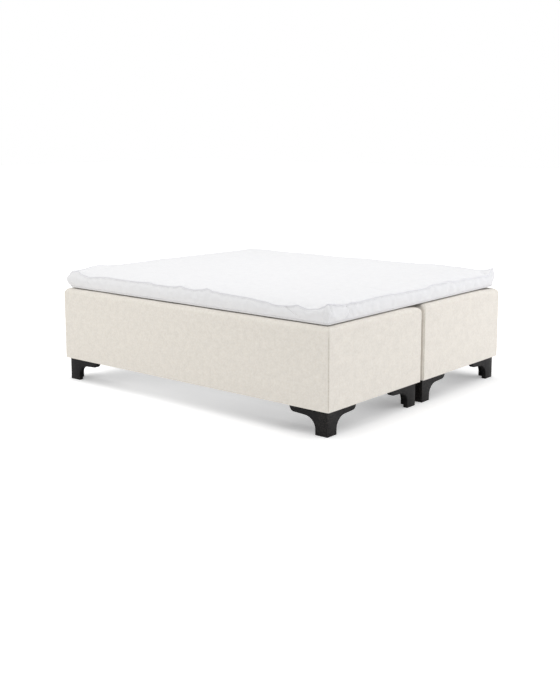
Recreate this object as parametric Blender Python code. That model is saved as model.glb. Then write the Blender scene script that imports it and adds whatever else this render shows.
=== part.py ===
"""A double bed: two upholstered spring base units side by side on bracket legs, under one topper.

Metres, +Z up. X is the bed's width and Y its length, with the head end at +Y. The floor is Z = 0.
Run it with: blender --background --python part.py
"""

import math

import bmesh
import bpy
from mathutils import Matrix

# The whole bed: a standard 180 x 210 cm size, in two units that stand side by side.
BED_WIDTH = 1.800
BED_LENGTH = 2.100
UNIT_GAP = 0.028
SEAT_GAP = 0.0003
OVERRUN = 0.005

# Base unit, outside the cover.
BASE_HEIGHT = 0.4467
TOP_EDGE_RADIUS = 0.030
BOTTOM_EDGE_RADIUS = 0.0015
CORNER_RADIUS = 0.010
COVER_THICKNESS = 0.002
HEM_WIDTH = 0.035
INNER_CORNER_RADIUS = 0.0008
WALL_CORNER_RADIUS = 0.008
CORNER_SEGMENTS = 3
EDGE_SEGMENTS = 5

# Padding and springs, from the outside in and from the top down.
SKIRT_THICKNESS = 0.008
BORDER_THICKNESS = 0.045
TOP_FOAM_HEIGHT = 0.060
FELT_HEIGHT = 0.006
POCKET_DIAMETER = 0.080
POCKET_SEGMENTS = 3
POCKET_TUCK = math.radians(20)

# Timber frame.
RAIL_HEIGHT = 0.145
RAIL_THICKNESS = 0.022
DECK_THICKNESS = 0.012
TIMBER_CHAMFER = 0.0015
VENT_DIAMETER = 0.045
VENT_PITCH = 0.360
VENT_SIDE_OFFSET = 0.190
VENT_ROWS = 5
VENT_SEGMENTS = 14
BLOCK_WIDTH = 0.072
BLOCK_HEIGHT = 0.090
BLOCK_CORNER_CUT = 0.026
DUST_COVER_THICKNESS = 0.0012

# Bracket leg: two mitred panels with a carved underside, and a gusset glued in between them.
LEG_HEIGHT = 0.138
LEG_INSET = 0.023
LEG_FOOT_WIDTH = 0.080
LEG_PANEL_THICKNESS = 0.028
WING_LENGTH = 0.255
WING_DEPTH = 0.040
ANKLE_HEIGHT = 0.030
ARCH_WIDTH = 0.075
ARCH_SEGMENTS = 9
TIP_LENGTH = 0.030
TIP_DEPTH = 0.036
TIP_SEGMENTS = 4
GUSSET_WIDTH = 0.095
GUSSET_NOSE = 0.052
GUSSET_THICKNESS = 0.020
GUSSET_RECESS = 0.001

# Hexagon bolt that holds a leg to its corner block.
BOLT_RADIUS = 0.004
BOLT_LENGTH = 0.055
BOLT_HEAD_RADIUS = 0.0075
BOLT_HEAD_HEIGHT = 0.0053
BOLT_TIP_CHAMFER = 0.001
BOLT_FROM_PANELS = 0.030
BORE_RADIUS = 0.0046
ROUND_SEGMENTS = 12

# Steel plates that keep the two units together: a tongue slides into a keeper.
LINK_PLATE_THICKNESS = 0.0025
LINK_FROM_LEG = 0.172
TONGUE_WIDTH = 0.060
TONGUE_HOLD = 0.060
TONGUE_REACH = 0.050
KEEPER_LENGTH = 0.045
KEEPER_SET_BACK = 0.008
KEEPER_FLANGE = 0.020
KEEPER_PLAY = 0.0005

# Topper: a foam core in a loose two-part cover with a piped edge and a zip round its foot.
TOPPER_SET_BACK = 0.030
TOPPER_CORNER_RADIUS = 0.014
TOPPER_EDGE_HEIGHT = 0.0960
TOPPER_CROWN = 0.018
EDGE_WAVE_HEIGHT = 0.022
BORDER_BULGE = 0.010
PANEL_THICKNESS = 0.002
PIPING_RADIUS = 0.005
PIPING_SEGMENTS = 2
PIPING_START = math.radians(-25)
PIPING_TURN = math.radians(165)
VALLEY_INSET = 0.022
VALLEY_DEPTH = 0.005
ROLL_INSET = 0.065
SHOULDER_INSET = 0.150
FIELD_INSET = 0.320
MIDDLE_INSET = 0.620
RIM_CHAMFER = 0.009
RIM_HEIGHT = 0.003
ZIP_HEIGHT = 0.005
ZIP_THICKNESS = 0.003
ZIP_PROUD = 0.001
SLIDER_LENGTH = 0.014
SLIDER_HEIGHT = 0.009
SLIDER_THICKNESS = 0.003
SLIDER_FROM_CORNER = 0.070
PULL_LENGTH = 0.024
PULL_HEIGHT = 0.006
TOPPER_CORNER_SEGMENTS = 2
TOPPER_END_POINTS = 11
TOPPER_SIDE_POINTS = 14

# Height of the piped edge along each side, as (share of the half side, share of the wave height).
LEFT_EDGE_SHARES = (
    (-1.00, 0.95),
    (-0.94, 0.00),
    (-0.88, -0.80),
    (-0.80, -0.10),
    (-0.66, -0.90),
    (-0.45, 0.00),
    (-0.17, 0.80),
    (-0.07, 0.10),
    (0.04, 0.60),
    (0.14, 0.10),
    (0.40, 0.10),
    (0.66, -0.10),
    (0.82, -0.70),
    (0.92, 0.40),
    (1.00, 0.10),
)
FOOT_EDGE_SHARES = (
    (-1.00, 0.95),
    (-0.88, 0.20),
    (-0.60, 0.00),
    (-0.30, 0.15),
    (0.02, -0.30),
    (0.24, 0.15),
    (0.46, -0.25),
    (0.80, -0.50),
    (0.90, -0.70),
    (1.00, 1.00),
)
RIGHT_EDGE_SHARES = (
    (-1.00, 1.00),
    (-0.90, 0.10),
    (-0.60, 0.50),
    (-0.20, 0.10),
    (0.20, -0.10),
    (0.60, -0.40),
    (1.00, -0.20),
)
HEAD_EDGE_SHARES = (
    (-1.00, 0.10),
    (-0.85, 0.10),
    (-0.50, 0.50),
    (-0.10, 0.30),
    (0.40, 0.00),
    (0.75, -0.40),
    (1.00, -0.20),
)

# Sizes and places that follow from the ones above.
UNIT_WIDTH = (BED_WIDTH - UNIT_GAP) / 2
UNIT_CENTRE = (UNIT_WIDTH + UNIT_GAP) / 2
BASE_BOTTOM = LEG_HEIGHT + SEAT_GAP
BASE_TOP = BASE_BOTTOM + BASE_HEIGHT
FOAM_INSET = COVER_THICKNESS + SEAT_GAP
FOAM_CORNER_RADIUS = CORNER_RADIUS - FOAM_INSET
RAIL_INSET = FOAM_INSET + SKIRT_THICKNESS + SEAT_GAP
CORE_INSET = FOAM_INSET + BORDER_THICKNESS + SEAT_GAP
FRAME_BOTTOM = BASE_BOTTOM + COVER_THICKNESS + SEAT_GAP
DECK_BOTTOM = FRAME_BOTTOM + RAIL_HEIGHT + SEAT_GAP
DECK_TOP = DECK_BOTTOM + DECK_THICKNESS
TOP_FOAM_TOP = BASE_TOP - FOAM_INSET
TOP_FOAM_BOTTOM = TOP_FOAM_TOP - TOP_FOAM_HEIGHT
FELT_BOTTOM = TOP_FOAM_BOTTOM - SEAT_GAP - FELT_HEIGHT
CORE_TOP = FELT_BOTTOM - SEAT_GAP
CORE_BOTTOM = DECK_TOP + SEAT_GAP
BLOCK_INSET = RAIL_INSET + RAIL_THICKNESS + SEAT_GAP
BOLT_INSET = LEG_INSET + LEG_PANEL_THICKNESS + BOLT_FROM_PANELS
GUSSET_TOP = LEG_HEIGHT - GUSSET_RECESS
LINK_TOP = BASE_BOTTOM - SEAT_GAP
LINK_FROM_MIDDLE = BED_LENGTH / 2 - LEG_INSET - WING_LENGTH - LINK_FROM_LEG
TOPPER_WIDTH = BED_WIDTH - 2 * TOPPER_SET_BACK
TOPPER_LENGTH = BED_LENGTH - 2 * TOPPER_SET_BACK
TOPPER_BOTTOM = BASE_TOP + SEAT_GAP
RIM_TOP = TOPPER_BOTTOM + RIM_CHAMFER + RIM_HEIGHT
ZIP_BOTTOM = RIM_TOP + SEAT_GAP
BORDER_BOTTOM = ZIP_BOTTOM + ZIP_HEIGHT + SEAT_GAP

UNITS = (("left", -1), ("right", 1))
ENDS = (("head", 1), ("foot", -1))


def clear_scene():
    """Removes every object that the file opens with."""
    for obj in list(bpy.data.objects):
        bpy.data.objects.remove(obj)


def finish(name, colour, roughness, metallic=0.0):
    """A plain material with the colour, roughness and metal of one of the bed's materials."""
    material = bpy.data.materials.new(name)
    material.use_nodes = True
    shader = material.node_tree.nodes["Principled BSDF"]
    shader.inputs["Base Color"].default_value = (*colour, 1)
    shader.inputs["Roughness"].default_value = roughness
    shader.inputs["Metallic"].default_value = metallic
    return material


def mesh_from(name, bm, smooth_angle=None):
    """A mesh with its faces turned outwards, and shaded smooth below an angle if one is given."""
    bmesh.ops.recalc_face_normals(bm, faces=bm.faces)
    mesh = bpy.data.meshes.new(name)
    bm.to_mesh(mesh)
    bm.free()
    if smooth_angle is not None:
        mesh.shade_smooth()
        mesh.set_sharp_from_angle(angle=smooth_angle)
    return mesh


def place(name, mesh, material, parent, location=(0, 0, 0), turn=0.0):
    """A named object with this mesh and material, under a parent, turned about Z."""
    if material.name not in mesh.materials:
        mesh.materials.append(material)
    obj = bpy.data.objects.new(name, mesh)
    bpy.context.collection.objects.link(obj)
    obj.parent = parent
    obj.location = location
    obj.rotation_euler = (0, 0, turn)
    return obj


def carved(mesh, steps):
    """The mesh after a row of Boolean steps, each one an operation with another mesh."""
    body = bpy.data.objects.new("body", mesh)
    helpers = [body]
    bpy.context.collection.objects.link(body)
    for operation, tool_mesh in steps:
        tool = bpy.data.objects.new("tool", tool_mesh)
        tool.hide_render = True
        tool.display_type = "WIRE"
        bpy.context.collection.objects.link(tool)
        helpers.append(tool)
        cut = body.modifiers.new(operation.lower(), "BOOLEAN")
        cut.operation = operation
        cut.object = tool
    graph = bpy.context.evaluated_depsgraph_get()
    result = bpy.data.meshes.new_from_object(body.evaluated_get(graph))
    result.name = mesh.name
    for helper in helpers:
        bpy.data.objects.remove(helper)
    return result


def rounded_rectangle(half_width, half_length, radius, segments, end_points=0, side_points=0):
    """Points of a rounded rectangle, counter-clockwise from the start of its right side.

    Each straight side has extra points spaced evenly between its two corners.
    """
    points = []
    sides = ((1, 1, side_points), (-1, 1, end_points), (-1, -1, side_points), (1, -1, end_points))
    for quarter, (sign_x, sign_y, count) in enumerate(sides):
        arc = []
        for step in range(segments + 1):
            angle = (quarter + step / segments) * math.pi / 2
            arc.append(
                (
                    sign_x * (half_width - radius) + radius * math.cos(angle),
                    sign_y * (half_length - radius) + radius * math.sin(angle),
                )
            )
        along_side = quarter % 2 == 0
        for step in range(1, count + 1):
            share = step / (count + 1)
            if along_side:
                points.append((arc[0][0], arc[0][1] * (2 * share - 1)))
            else:
                points.append((arc[0][0] * (2 * share - 1), arc[0][1]))
        points.extend(arc)
    return points


def unit_ring(inset, height, radius):
    """A ring round a base unit, this far inside its outer faces."""
    outline = rounded_rectangle(
        UNIT_WIDTH / 2 - inset, BED_LENGTH / 2 - inset, radius, CORNER_SEGMENTS
    )
    return [(x, y, height) for x, y in outline]


def loft(name, rings, joined=False, fanned=False, smooth_angle=math.radians(35)):
    """A closed mesh through rings of equally many points.

    Its ends are joined to each other, or else capped: with one face each, or with a fan of triangles.
    """
    bm = bmesh.new()
    rows = [[bm.verts.new(point) for point in ring] for ring in rings]
    pairs = list(zip(rows, rows[1:]))
    if joined:
        pairs.append((rows[-1], rows[0]))
    else:
        caps = [bm.faces.new(rows[0]), bm.faces.new(rows[-1])]
        if fanned:
            bmesh.ops.poke(bm, faces=caps)
    for near, far in pairs:
        for index, vertex in enumerate(near):
            following = (index + 1) % len(near)
            bm.faces.new((vertex, near[following], far[following], far[index]))
    return mesh_from(name, bm, smooth_angle)


def prism(name, outline, low, high, smooth_angle=math.radians(35)):
    """An upright prism over a plan outline."""
    rings = [[(x, y, z) for x, y in outline] for z in (low, high)]
    return loft(name, rings, smooth_angle=smooth_angle)


def cylinder(name, radius, low, high, centre=(0, 0), segments=ROUND_SEGMENTS):
    """An upright cylinder, used as a cutter."""
    turns = [2 * math.pi * step / segments for step in range(segments)]
    outline = [
        (centre[0] + radius * math.cos(turn), centre[1] + radius * math.sin(turn)) for turn in turns
    ]
    return prism(name, outline, low, high)


def board(name, width, length, height):
    """A sawn board about its own centre, with its edges eased."""
    bm = bmesh.new()
    bmesh.ops.create_cube(bm, size=1, matrix=Matrix.Diagonal((width, length, height, 1)))
    bmesh.ops.bevel(
        bm, geom=bm.edges[:], offset=TIMBER_CHAMFER, segments=1, affect="EDGES", clamp_overlap=True
    )
    return mesh_from(name, bm)


def edge_arc(inset, height, radius):
    """(inset, height) points of a rounded top edge, from its top round to its side."""
    steps = [math.pi / 2 * step / EDGE_SEGMENTS for step in range(EDGE_SEGMENTS + 1)]
    return [(inset - radius * math.sin(t), height + radius * math.cos(t)) for t in steps]


def cover_mesh():
    """The fabric cover of one unit: top, walls and a hem turned in under the frame, open inside it."""
    arc_height = BASE_TOP - TOP_EDGE_RADIUS
    outside = edge_arc(TOP_EDGE_RADIUS, arc_height, TOP_EDGE_RADIUS)
    outside += [
        (0, BASE_BOTTOM + BOTTOM_EDGE_RADIUS),
        (BOTTOM_EDGE_RADIUS, BASE_BOTTOM),
        (HEM_WIDTH, BASE_BOTTOM),
    ]
    inside = edge_arc(TOP_EDGE_RADIUS, arc_height, TOP_EDGE_RADIUS - COVER_THICKNESS)
    inside += [
        (COVER_THICKNESS, BASE_BOTTOM + COVER_THICKNESS),
        (HEM_WIDTH, BASE_BOTTOM + COVER_THICKNESS),
    ]
    rings = [unit_ring(inset, height, CORNER_RADIUS) for inset, height in outside]
    inner_radius = CORNER_RADIUS - COVER_THICKNESS
    rings += [unit_ring(inset, height, inner_radius) for inset, height in reversed(inside)]
    return loft("base_cover", rings)


def border_foam_mesh():
    """The foam border: a thin skirt down over the rails and a thick wall round the springs."""
    wall_inset = FOAM_INSET + BORDER_THICKNESS
    skirt_inset = FOAM_INSET + SKIRT_THICKNESS
    rings = [
        unit_ring(FOAM_INSET, FRAME_BOTTOM, FOAM_CORNER_RADIUS),
        unit_ring(FOAM_INSET, CORE_TOP, FOAM_CORNER_RADIUS),
        unit_ring(wall_inset, CORE_TOP, WALL_CORNER_RADIUS),
        unit_ring(wall_inset, CORE_BOTTOM, WALL_CORNER_RADIUS),
        unit_ring(skirt_inset, CORE_BOTTOM, INNER_CORNER_RADIUS),
        unit_ring(skirt_inset, FRAME_BOTTOM, INNER_CORNER_RADIUS),
    ]
    return loft("border_foam", rings, joined=True)


def top_foam_mesh():
    """The comfort foam under the cover's top, with the rounded edge that the cover takes."""
    arc_height = BASE_TOP - TOP_EDGE_RADIUS
    profile = edge_arc(TOP_EDGE_RADIUS, arc_height, TOP_EDGE_RADIUS - FOAM_INSET)
    profile.append((FOAM_INSET, TOP_FOAM_BOTTOM))
    return loft("top_foam", [unit_ring(i, z, FOAM_CORNER_RADIUS) for i, z in profile])


def felt_mesh():
    """The felt pad that keeps the springs off the foam."""
    heights = (FELT_BOTTOM, FELT_BOTTOM + FELT_HEIGHT)
    return loft("felt_pad", [unit_ring(FOAM_INSET, z, FOAM_CORNER_RADIUS) for z in heights])


def spring_core_mesh():
    """The pocket spring core, with the round fabric pockets of its outer row on its outline."""
    half_width = UNIT_WIDTH / 2 - CORE_INSET
    half_length = BED_LENGTH / 2 - CORE_INSET
    across = max(2, round(2 * half_width / POCKET_DIAMETER))
    along = max(2, round(2 * half_length / POCKET_DIAMETER))
    radius_x = half_width / across
    radius_y = half_length / along
    outline = []
    for quarter in range(4):
        facing = (quarter - 1) * math.pi / 2
        count = across if quarter % 2 == 0 else along
        start = facing - math.pi / 2 + POCKET_TUCK
        for pocket in range(1, count):
            last = pocket == count - 1
            sweep = (math.pi * 3 / 2 if last else math.pi) - 2 * POCKET_TUCK
            steps = POCKET_SEGMENTS * 2 if last else POCKET_SEGMENTS
            travel = 2 * pocket + 1 - count
            centre_x = (travel * radius_x, half_width - radius_x)[quarter % 2]
            centre_y = (radius_y - half_length, travel * radius_y)[quarter % 2]
            if quarter >= 2:
                centre_x = -centre_x
                centre_y = -centre_y
            for step in range(steps + 1):
                angle = start + sweep * step / steps
                outline.append(
                    (
                        centre_x + radius_x * math.cos(angle),
                        centre_y + radius_y * math.sin(angle),
                    )
                )
    return prism("spring_core", outline, CORE_BOTTOM, CORE_TOP, None)


def deck_mesh():
    """The board that closes the frame and carries the springs, with two columns of vent holes."""
    width = UNIT_WIDTH - 2 * RAIL_INSET
    length = BED_LENGTH - 2 * RAIL_INSET
    cuts = []
    for row in range(VENT_ROWS):
        y = (row - (VENT_ROWS - 1) / 2) * VENT_PITCH
        for x in (-VENT_SIDE_OFFSET, VENT_SIDE_OFFSET):
            hole = cylinder(
                "vent", VENT_DIAMETER / 2, -DECK_THICKNESS, DECK_THICKNESS, (x, y), VENT_SEGMENTS
            )
            cuts.append(("DIFFERENCE", hole))
    return carved(board("deck", width, length, DECK_THICKNESS), cuts)


def dust_cover_mesh():
    """The thin cloth under the frame, inside the hem, with a hole for each leg bolt."""
    top = FRAME_BOTTOM - SEAT_GAP
    bottom = top - DUST_COVER_THICKNESS
    inset = HEM_WIDTH + SEAT_GAP
    sheet = loft("dust_cover", [unit_ring(inset, z, CORNER_RADIUS) for z in (bottom, top)])
    bore_x = UNIT_WIDTH / 2 - BOLT_INSET
    bore_y = BED_LENGTH / 2 - BOLT_INSET
    cuts = []
    for sign_x in (-1, 1):
        for sign_y in (-1, 1):
            centre = (sign_x * bore_x, sign_y * bore_y)
            bore = cylinder("bore", BORE_RADIUS, bottom - OVERRUN, top + OVERRUN, centre)
            cuts.append(("DIFFERENCE", bore))
    return carved(sheet, cuts)


def corner_block_mesh():
    """The block in a corner of the frame that a leg bolt screws into, from its outer corner."""
    outline = (
        (0, 0),
        (BLOCK_WIDTH, 0),
        (BLOCK_WIDTH, BLOCK_WIDTH - BLOCK_CORNER_CUT),
        (BLOCK_WIDTH - BLOCK_CORNER_CUT, BLOCK_WIDTH),
        (0, BLOCK_WIDTH),
    )
    block = prism("corner_block", outline, FRAME_BOTTOM, FRAME_BOTTOM + BLOCK_HEIGHT, None)
    place_in_block = BOLT_INSET - BLOCK_INSET
    bore_top = GUSSET_TOP - GUSSET_THICKNESS + BOLT_LENGTH + OVERRUN
    centre = (place_in_block, place_in_block)
    bore = cylinder("bore", BORE_RADIUS, FRAME_BOTTOM - OVERRUN, bore_top, centre)
    return carved(block, [("DIFFERENCE", bore)])


def wing_outline():
    """(Along, up) points of one wing of a leg, from the foot of its corner out to its tip."""
    arch_end = LEG_FOOT_WIDTH + ARCH_WIDTH
    arch_rise = LEG_HEIGHT - WING_DEPTH - ANKLE_HEIGHT
    points = [(0, 0), (LEG_FOOT_WIDTH, 0)]
    for step in range(ARCH_SEGMENTS + 1):
        turn = math.pi / 2 * step / ARCH_SEGMENTS
        along = arch_end - ARCH_WIDTH * math.cos(turn)
        points.append((along, ANKLE_HEIGHT + arch_rise * math.sin(turn)))
    for step in range(TIP_SEGMENTS + 1):
        turn = math.pi / 2 * step / TIP_SEGMENTS
        along = WING_LENGTH - TIP_LENGTH + TIP_LENGTH * math.sin(turn)
        points.append((along, LEG_HEIGHT - TIP_DEPTH * math.cos(turn)))
    points.append((0, LEG_HEIGHT))
    return points


def folded_panels():
    """Both panels of a leg as one body, folded along the mitre at the leg's corner."""
    wing = wing_outline()
    depth = LEG_PANEL_THICKNESS
    bm = bmesh.new()
    corners = {}
    for height in (0, LEG_HEIGHT):
        corners[height] = (bm.verts.new((0, 0, height)), bm.verts.new((depth, depth, height)))
    for swap in (False, True):
        front = []
        back = []
        for along, up in wing:
            if along == 0:
                outer, inner = corners[up]
            else:
                outer = bm.verts.new((0, along, up) if swap else (along, 0, up))
                inner = bm.verts.new((depth, along, up) if swap else (along, depth, up))
            front.append(outer)
            back.append(inner)
        bm.faces.new(front)
        bm.faces.new(back)
        for index in range(len(wing) - 1):
            bm.faces.new((front[index], front[index + 1], back[index + 1], back[index]))
    return mesh_from("leg", bm)


def leg_mesh():
    """A bracket leg from its outer bottom corner: folded panels, the gusset between them and its bore."""
    near = LEG_PANEL_THICKNESS / 2
    far = LEG_PANEL_THICKNESS + GUSSET_WIDTH
    nose = LEG_PANEL_THICKNESS + GUSSET_NOSE
    outline = ((near, near), (far, near), (far, nose), (nose, far), (near, far))
    gusset = prism("gusset", outline, GUSSET_TOP - GUSSET_THICKNESS, GUSSET_TOP, None)
    place_in_leg = LEG_PANEL_THICKNESS + BOLT_FROM_PANELS
    low = GUSSET_TOP - GUSSET_THICKNESS - OVERRUN
    bore = cylinder("bore", BORE_RADIUS, low, LEG_HEIGHT, (place_in_leg, place_in_leg))
    leg = carved(folded_panels(), [("UNION", gusset), ("DIFFERENCE", bore)])
    leg.shade_smooth()
    leg.set_sharp_from_angle(angle=math.radians(30))
    return leg


def bolt_mesh():
    """A hexagon bolt, upright, with the seat of its head at Z = 0."""
    flat = math.cos(math.pi / 6)
    turns = [2 * math.pi * step / ROUND_SEGMENTS for step in range(ROUND_SEGMENTS)]
    hexagon = []
    for step, turn in enumerate(turns):
        reach = BOLT_HEAD_RADIUS * (1 if step % 2 == 0 else flat)
        hexagon.append((reach * math.cos(turn), reach * math.sin(turn)))
    rings = [[(x, y, z) for x, y in hexagon] for z in (-BOLT_HEAD_HEIGHT, 0)]
    shank = (
        (BOLT_RADIUS, 0),
        (BOLT_RADIUS, BOLT_LENGTH - BOLT_TIP_CHAMFER),
        (BOLT_RADIUS - BOLT_TIP_CHAMFER, BOLT_LENGTH),
    )
    for radius, height in shank:
        rings.append([(radius * math.cos(t), radius * math.sin(t), height) for t in turns])
    return loft("leg_bolt", rings)


def section_along_x(name, section, length):
    """A (y, z) section pulled out along +X."""
    bm = bmesh.new()
    face = bm.faces.new([bm.verts.new((0, y, z)) for y, z in section])
    pulled = bmesh.ops.extrude_face_region(bm, geom=[face])["geom"]
    moved = [item for item in pulled if isinstance(item, bmesh.types.BMVert)]
    bmesh.ops.translate(bm, verts=moved, vec=(length, 0, 0))
    return mesh_from(name, bm)


def tongue_mesh():
    """The flat plate under the left unit that reaches across the gap."""
    half = TONGUE_WIDTH / 2
    bottom = LINK_TOP - LINK_PLATE_THICKNESS
    section = ((-half, LINK_TOP), (-half, bottom), (half, bottom), (half, LINK_TOP))
    return section_along_x("link_tongue", section, TONGUE_HOLD + UNIT_GAP + TONGUE_REACH)


def keeper_mesh():
    """The folded plate under the right unit that holds the tongue up against the hem."""
    inner = TONGUE_WIDTH / 2 + KEEPER_PLAY
    outer = inner + LINK_PLATE_THICKNESS
    rim = outer + KEEPER_FLANGE
    ledge = LINK_TOP - LINK_PLATE_THICKNESS
    web_top = ledge - KEEPER_PLAY
    web_bottom = web_top - LINK_PLATE_THICKNESS
    half = (
        (inner, web_top),
        (inner, LINK_TOP),
        (rim, LINK_TOP),
        (rim, ledge),
        (outer, ledge),
        (outer, web_bottom),
    )
    section = list(half) + [(-y, z) for y, z in reversed(half)]
    return section_along_x("link_keeper", section, KEEPER_LENGTH)


def edge_wave(shares, place):
    """Height of the topper's edge at a place from -1 to 1 along a side, by cosine steps in its table."""
    for (start, low), (end, high) in zip(shares, shares[1:]):
        if place <= end:
            travel = (place - start) / (end - start)
            return low + (high - low) * (1 - math.cos(math.pi * travel)) / 2
    return shares[-1][1]


def topper_waves():
    """The edge wave at each point of a topper ring, as a height above the mean edge."""
    half_width = TOPPER_WIDTH / 2
    half_length = TOPPER_LENGTH / 2
    waves = []
    for x, y in topper_plan(0):
        on_side = half_width - abs(x) < half_length - abs(y)
        if on_side:
            wave = edge_wave(LEFT_EDGE_SHARES if x < 0 else RIGHT_EDGE_SHARES, y / half_length)
        else:
            wave = edge_wave(FOOT_EDGE_SHARES if y < 0 else HEAD_EDGE_SHARES, x / half_width)
        waves.append(EDGE_WAVE_HEIGHT * wave)
    return waves


def topper_plan(inset):
    """Plan points of a topper ring, this far inside the topper's bottom outline."""
    return rounded_rectangle(
        TOPPER_WIDTH / 2 - inset,
        TOPPER_LENGTH / 2 - inset,
        TOPPER_CORNER_RADIUS,
        TOPPER_CORNER_SEGMENTS,
        TOPPER_END_POINTS,
        TOPPER_SIDE_POINTS,
    )


def level_ring(inset, height):
    """A level ring round the topper."""
    return [(x, y, height) for x, y in topper_plan(inset)]


def foot_profile(depth):
    """(Inset, height) of the two ends of the chamfer round the topper's foot, this deep under its face."""
    mitre = depth * math.tan(math.pi / 8)
    return [
        (RIM_CHAMFER + mitre, TOPPER_BOTTOM + depth),
        (depth, TOPPER_BOTTOM + RIM_CHAMFER + mitre),
    ]


def border_rings(depth, bottom, shares):
    """Rings up the topper's bulging border, this deep under its outer face."""
    rings = []
    for share in shares:
        plan = topper_plan(depth - BORDER_BULGE * math.sin(math.pi * share))
        ring = []
        for (x, y), wave in zip(plan, topper_waves()):
            edge = TOPPER_BOTTOM + TOPPER_EDGE_HEIGHT + wave - depth
            ring.append((x, y, bottom + (edge - bottom) * share))
        rings.append(ring)
    return rings


def top_rings(depth):
    """Rings from the topper's edge in over its crown, this deep under its outer face."""
    rows = (
        (VALLEY_INSET, 0.7, 0.1, VALLEY_DEPTH),
        (ROLL_INSET, 0.4, 0.5, 0),
        (SHOULDER_INSET, 0.2, 0.8, 0),
        (FIELD_INSET, 0.0, 0.95, 0),
        (MIDDLE_INSET, 0.0, 1.0, 0),
    )
    rings = []
    for inset, wave_share, crown_share, drop in rows:
        level = TOPPER_BOTTOM + TOPPER_EDGE_HEIGHT - depth - drop + TOPPER_CROWN * crown_share
        ring = []
        for (x, y), wave in zip(topper_plan(inset), topper_waves()):
            ring.append((x, y, level + wave * wave_share))
        rings.append(ring)
    return rings


def piping_rings():
    """Rings round the piping that stands proud along the topper's top edge."""
    rings = []
    for step in range(PIPING_SEGMENTS + 1):
        turn = PIPING_START + PIPING_TURN * step / PIPING_SEGMENTS
        rise = PIPING_RADIUS * math.sin(turn)
        ring = []
        for (x, y), wave in zip(topper_plan(-PIPING_RADIUS * math.cos(turn)), topper_waves()):
            ring.append((x, y, TOPPER_BOTTOM + TOPPER_EDGE_HEIGHT + wave + rise))
        rings.append(ring)
    return rings


def topper_cover_top_mesh():
    """The topper's upper cover: bulging border, piped edge and crowned top, open below."""
    outside = border_rings(0, BORDER_BOTTOM, (0, 0.35, 0.7, 0.9))
    outside += piping_rings() + top_rings(0)
    inside = border_rings(PANEL_THICKNESS, BORDER_BOTTOM, (0, 0.5, 1)) + top_rings(PANEL_THICKNESS)
    return loft("topper_cover_top", outside[::-1] + inside, fanned=True)


def topper_core_mesh():
    """The topper's foam core, which fills its cover."""
    depth = PANEL_THICKNESS + SEAT_GAP
    rings = [level_ring(inset, height) for inset, height in foot_profile(depth)]
    rings += border_rings(depth, BORDER_BOTTOM, (0, 0.5, 1)) + top_rings(depth)
    return loft("topper_core", rings, fanned=True)


def topper_cover_base_mesh():
    """The topper's lower cover: a flat panel with a narrow rim turned up to the zip."""
    profile = foot_profile(0) + [(0, RIM_TOP), (PANEL_THICKNESS, RIM_TOP)]
    profile += reversed(foot_profile(PANEL_THICKNESS))
    rings = [level_ring(inset, height) for inset, height in profile]
    return loft("topper_cover_base", rings, fanned=True)


def zip_chain_mesh():
    """The zip that joins the topper's two covers all the way round."""
    top = ZIP_BOTTOM + ZIP_HEIGHT
    inner = ZIP_THICKNESS - ZIP_PROUD
    rings = [
        level_ring(-ZIP_PROUD, ZIP_BOTTOM),
        level_ring(-ZIP_PROUD, top),
        level_ring(inner, top),
        level_ring(inner, ZIP_BOTTOM),
    ]
    return loft("topper_zip_chain", rings, joined=True)


def zip_slider_mesh():
    """The zip's slider with its pull lying along the chain, about the middle of the slider's inner face."""
    half_body = SLIDER_HEIGHT / 2
    half_pull = PULL_HEIGHT / 2
    start = -SLIDER_LENGTH / 2
    shoulder = SLIDER_LENGTH / 2
    tip = shoulder + PULL_LENGTH
    outline = (
        (start, -half_pull),
        (start + half_pull, -half_body),
        (shoulder, -half_body),
        (shoulder + half_pull, -half_pull),
        (tip - half_pull, -half_pull),
        (tip, 0),
        (tip - half_pull, half_pull),
        (shoulder + half_pull, half_pull),
        (shoulder, half_body),
        (start + half_pull, half_body),
        (start, half_pull),
    )
    bm = bmesh.new()
    face = bm.faces.new([bm.verts.new((x, 0, z)) for x, z in outline])
    pulled = bmesh.ops.extrude_face_region(bm, geom=[face])["geom"]
    moved = [item for item in pulled if isinstance(item, bmesh.types.BMVert)]
    bmesh.ops.translate(bm, verts=moved, vec=(0, SLIDER_THICKNESS, 0))
    return mesh_from("topper_zip_slider", bm)


def build_padding(side, unit, meshes, looks):
    """The cover, foam, felt, springs, deck and dust cover of one unit."""
    layers = (
        ("cover", "base fabric"),
        ("border_foam", "foam"),
        ("top_foam", "foam"),
        ("felt_pad", "felt"),
        ("spring_core", "spring pockets"),
        ("dust_cover", "dust cover cloth"),
    )
    for layer, look in layers:
        place(f"{side}_{layer}", meshes[layer], looks[look], unit)
    deck_height = DECK_BOTTOM + DECK_THICKNESS / 2
    place(f"{side}_deck", meshes["deck"], looks["board"], unit, (0, 0, deck_height))


def build_frame(side, sign, unit, meshes, looks):
    """The rails of one unit: two long ones, two ends between them and one across the middle."""
    height = FRAME_BOTTOM + RAIL_HEIGHT / 2
    from_centre = UNIT_WIDTH / 2 - RAIL_INSET - RAIL_THICKNESS / 2
    for name, place_sign in (("outer", sign), ("inner", -sign)):
        location = (place_sign * from_centre, 0, height)
        place(f"{side}_side_rail_{name}", meshes["side_rail"], looks["timber"], unit, location)
    end_from_centre = BED_LENGTH / 2 - RAIL_INSET - RAIL_THICKNESS / 2
    for name, end in ENDS:
        location = (0, end * end_from_centre, height)
        place(f"{side}_end_rail_{name}", meshes["cross_rail"], looks["timber"], unit, location)
    place(f"{side}_cross_rail", meshes["cross_rail"], looks["timber"], unit, (0, 0, height))


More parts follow.
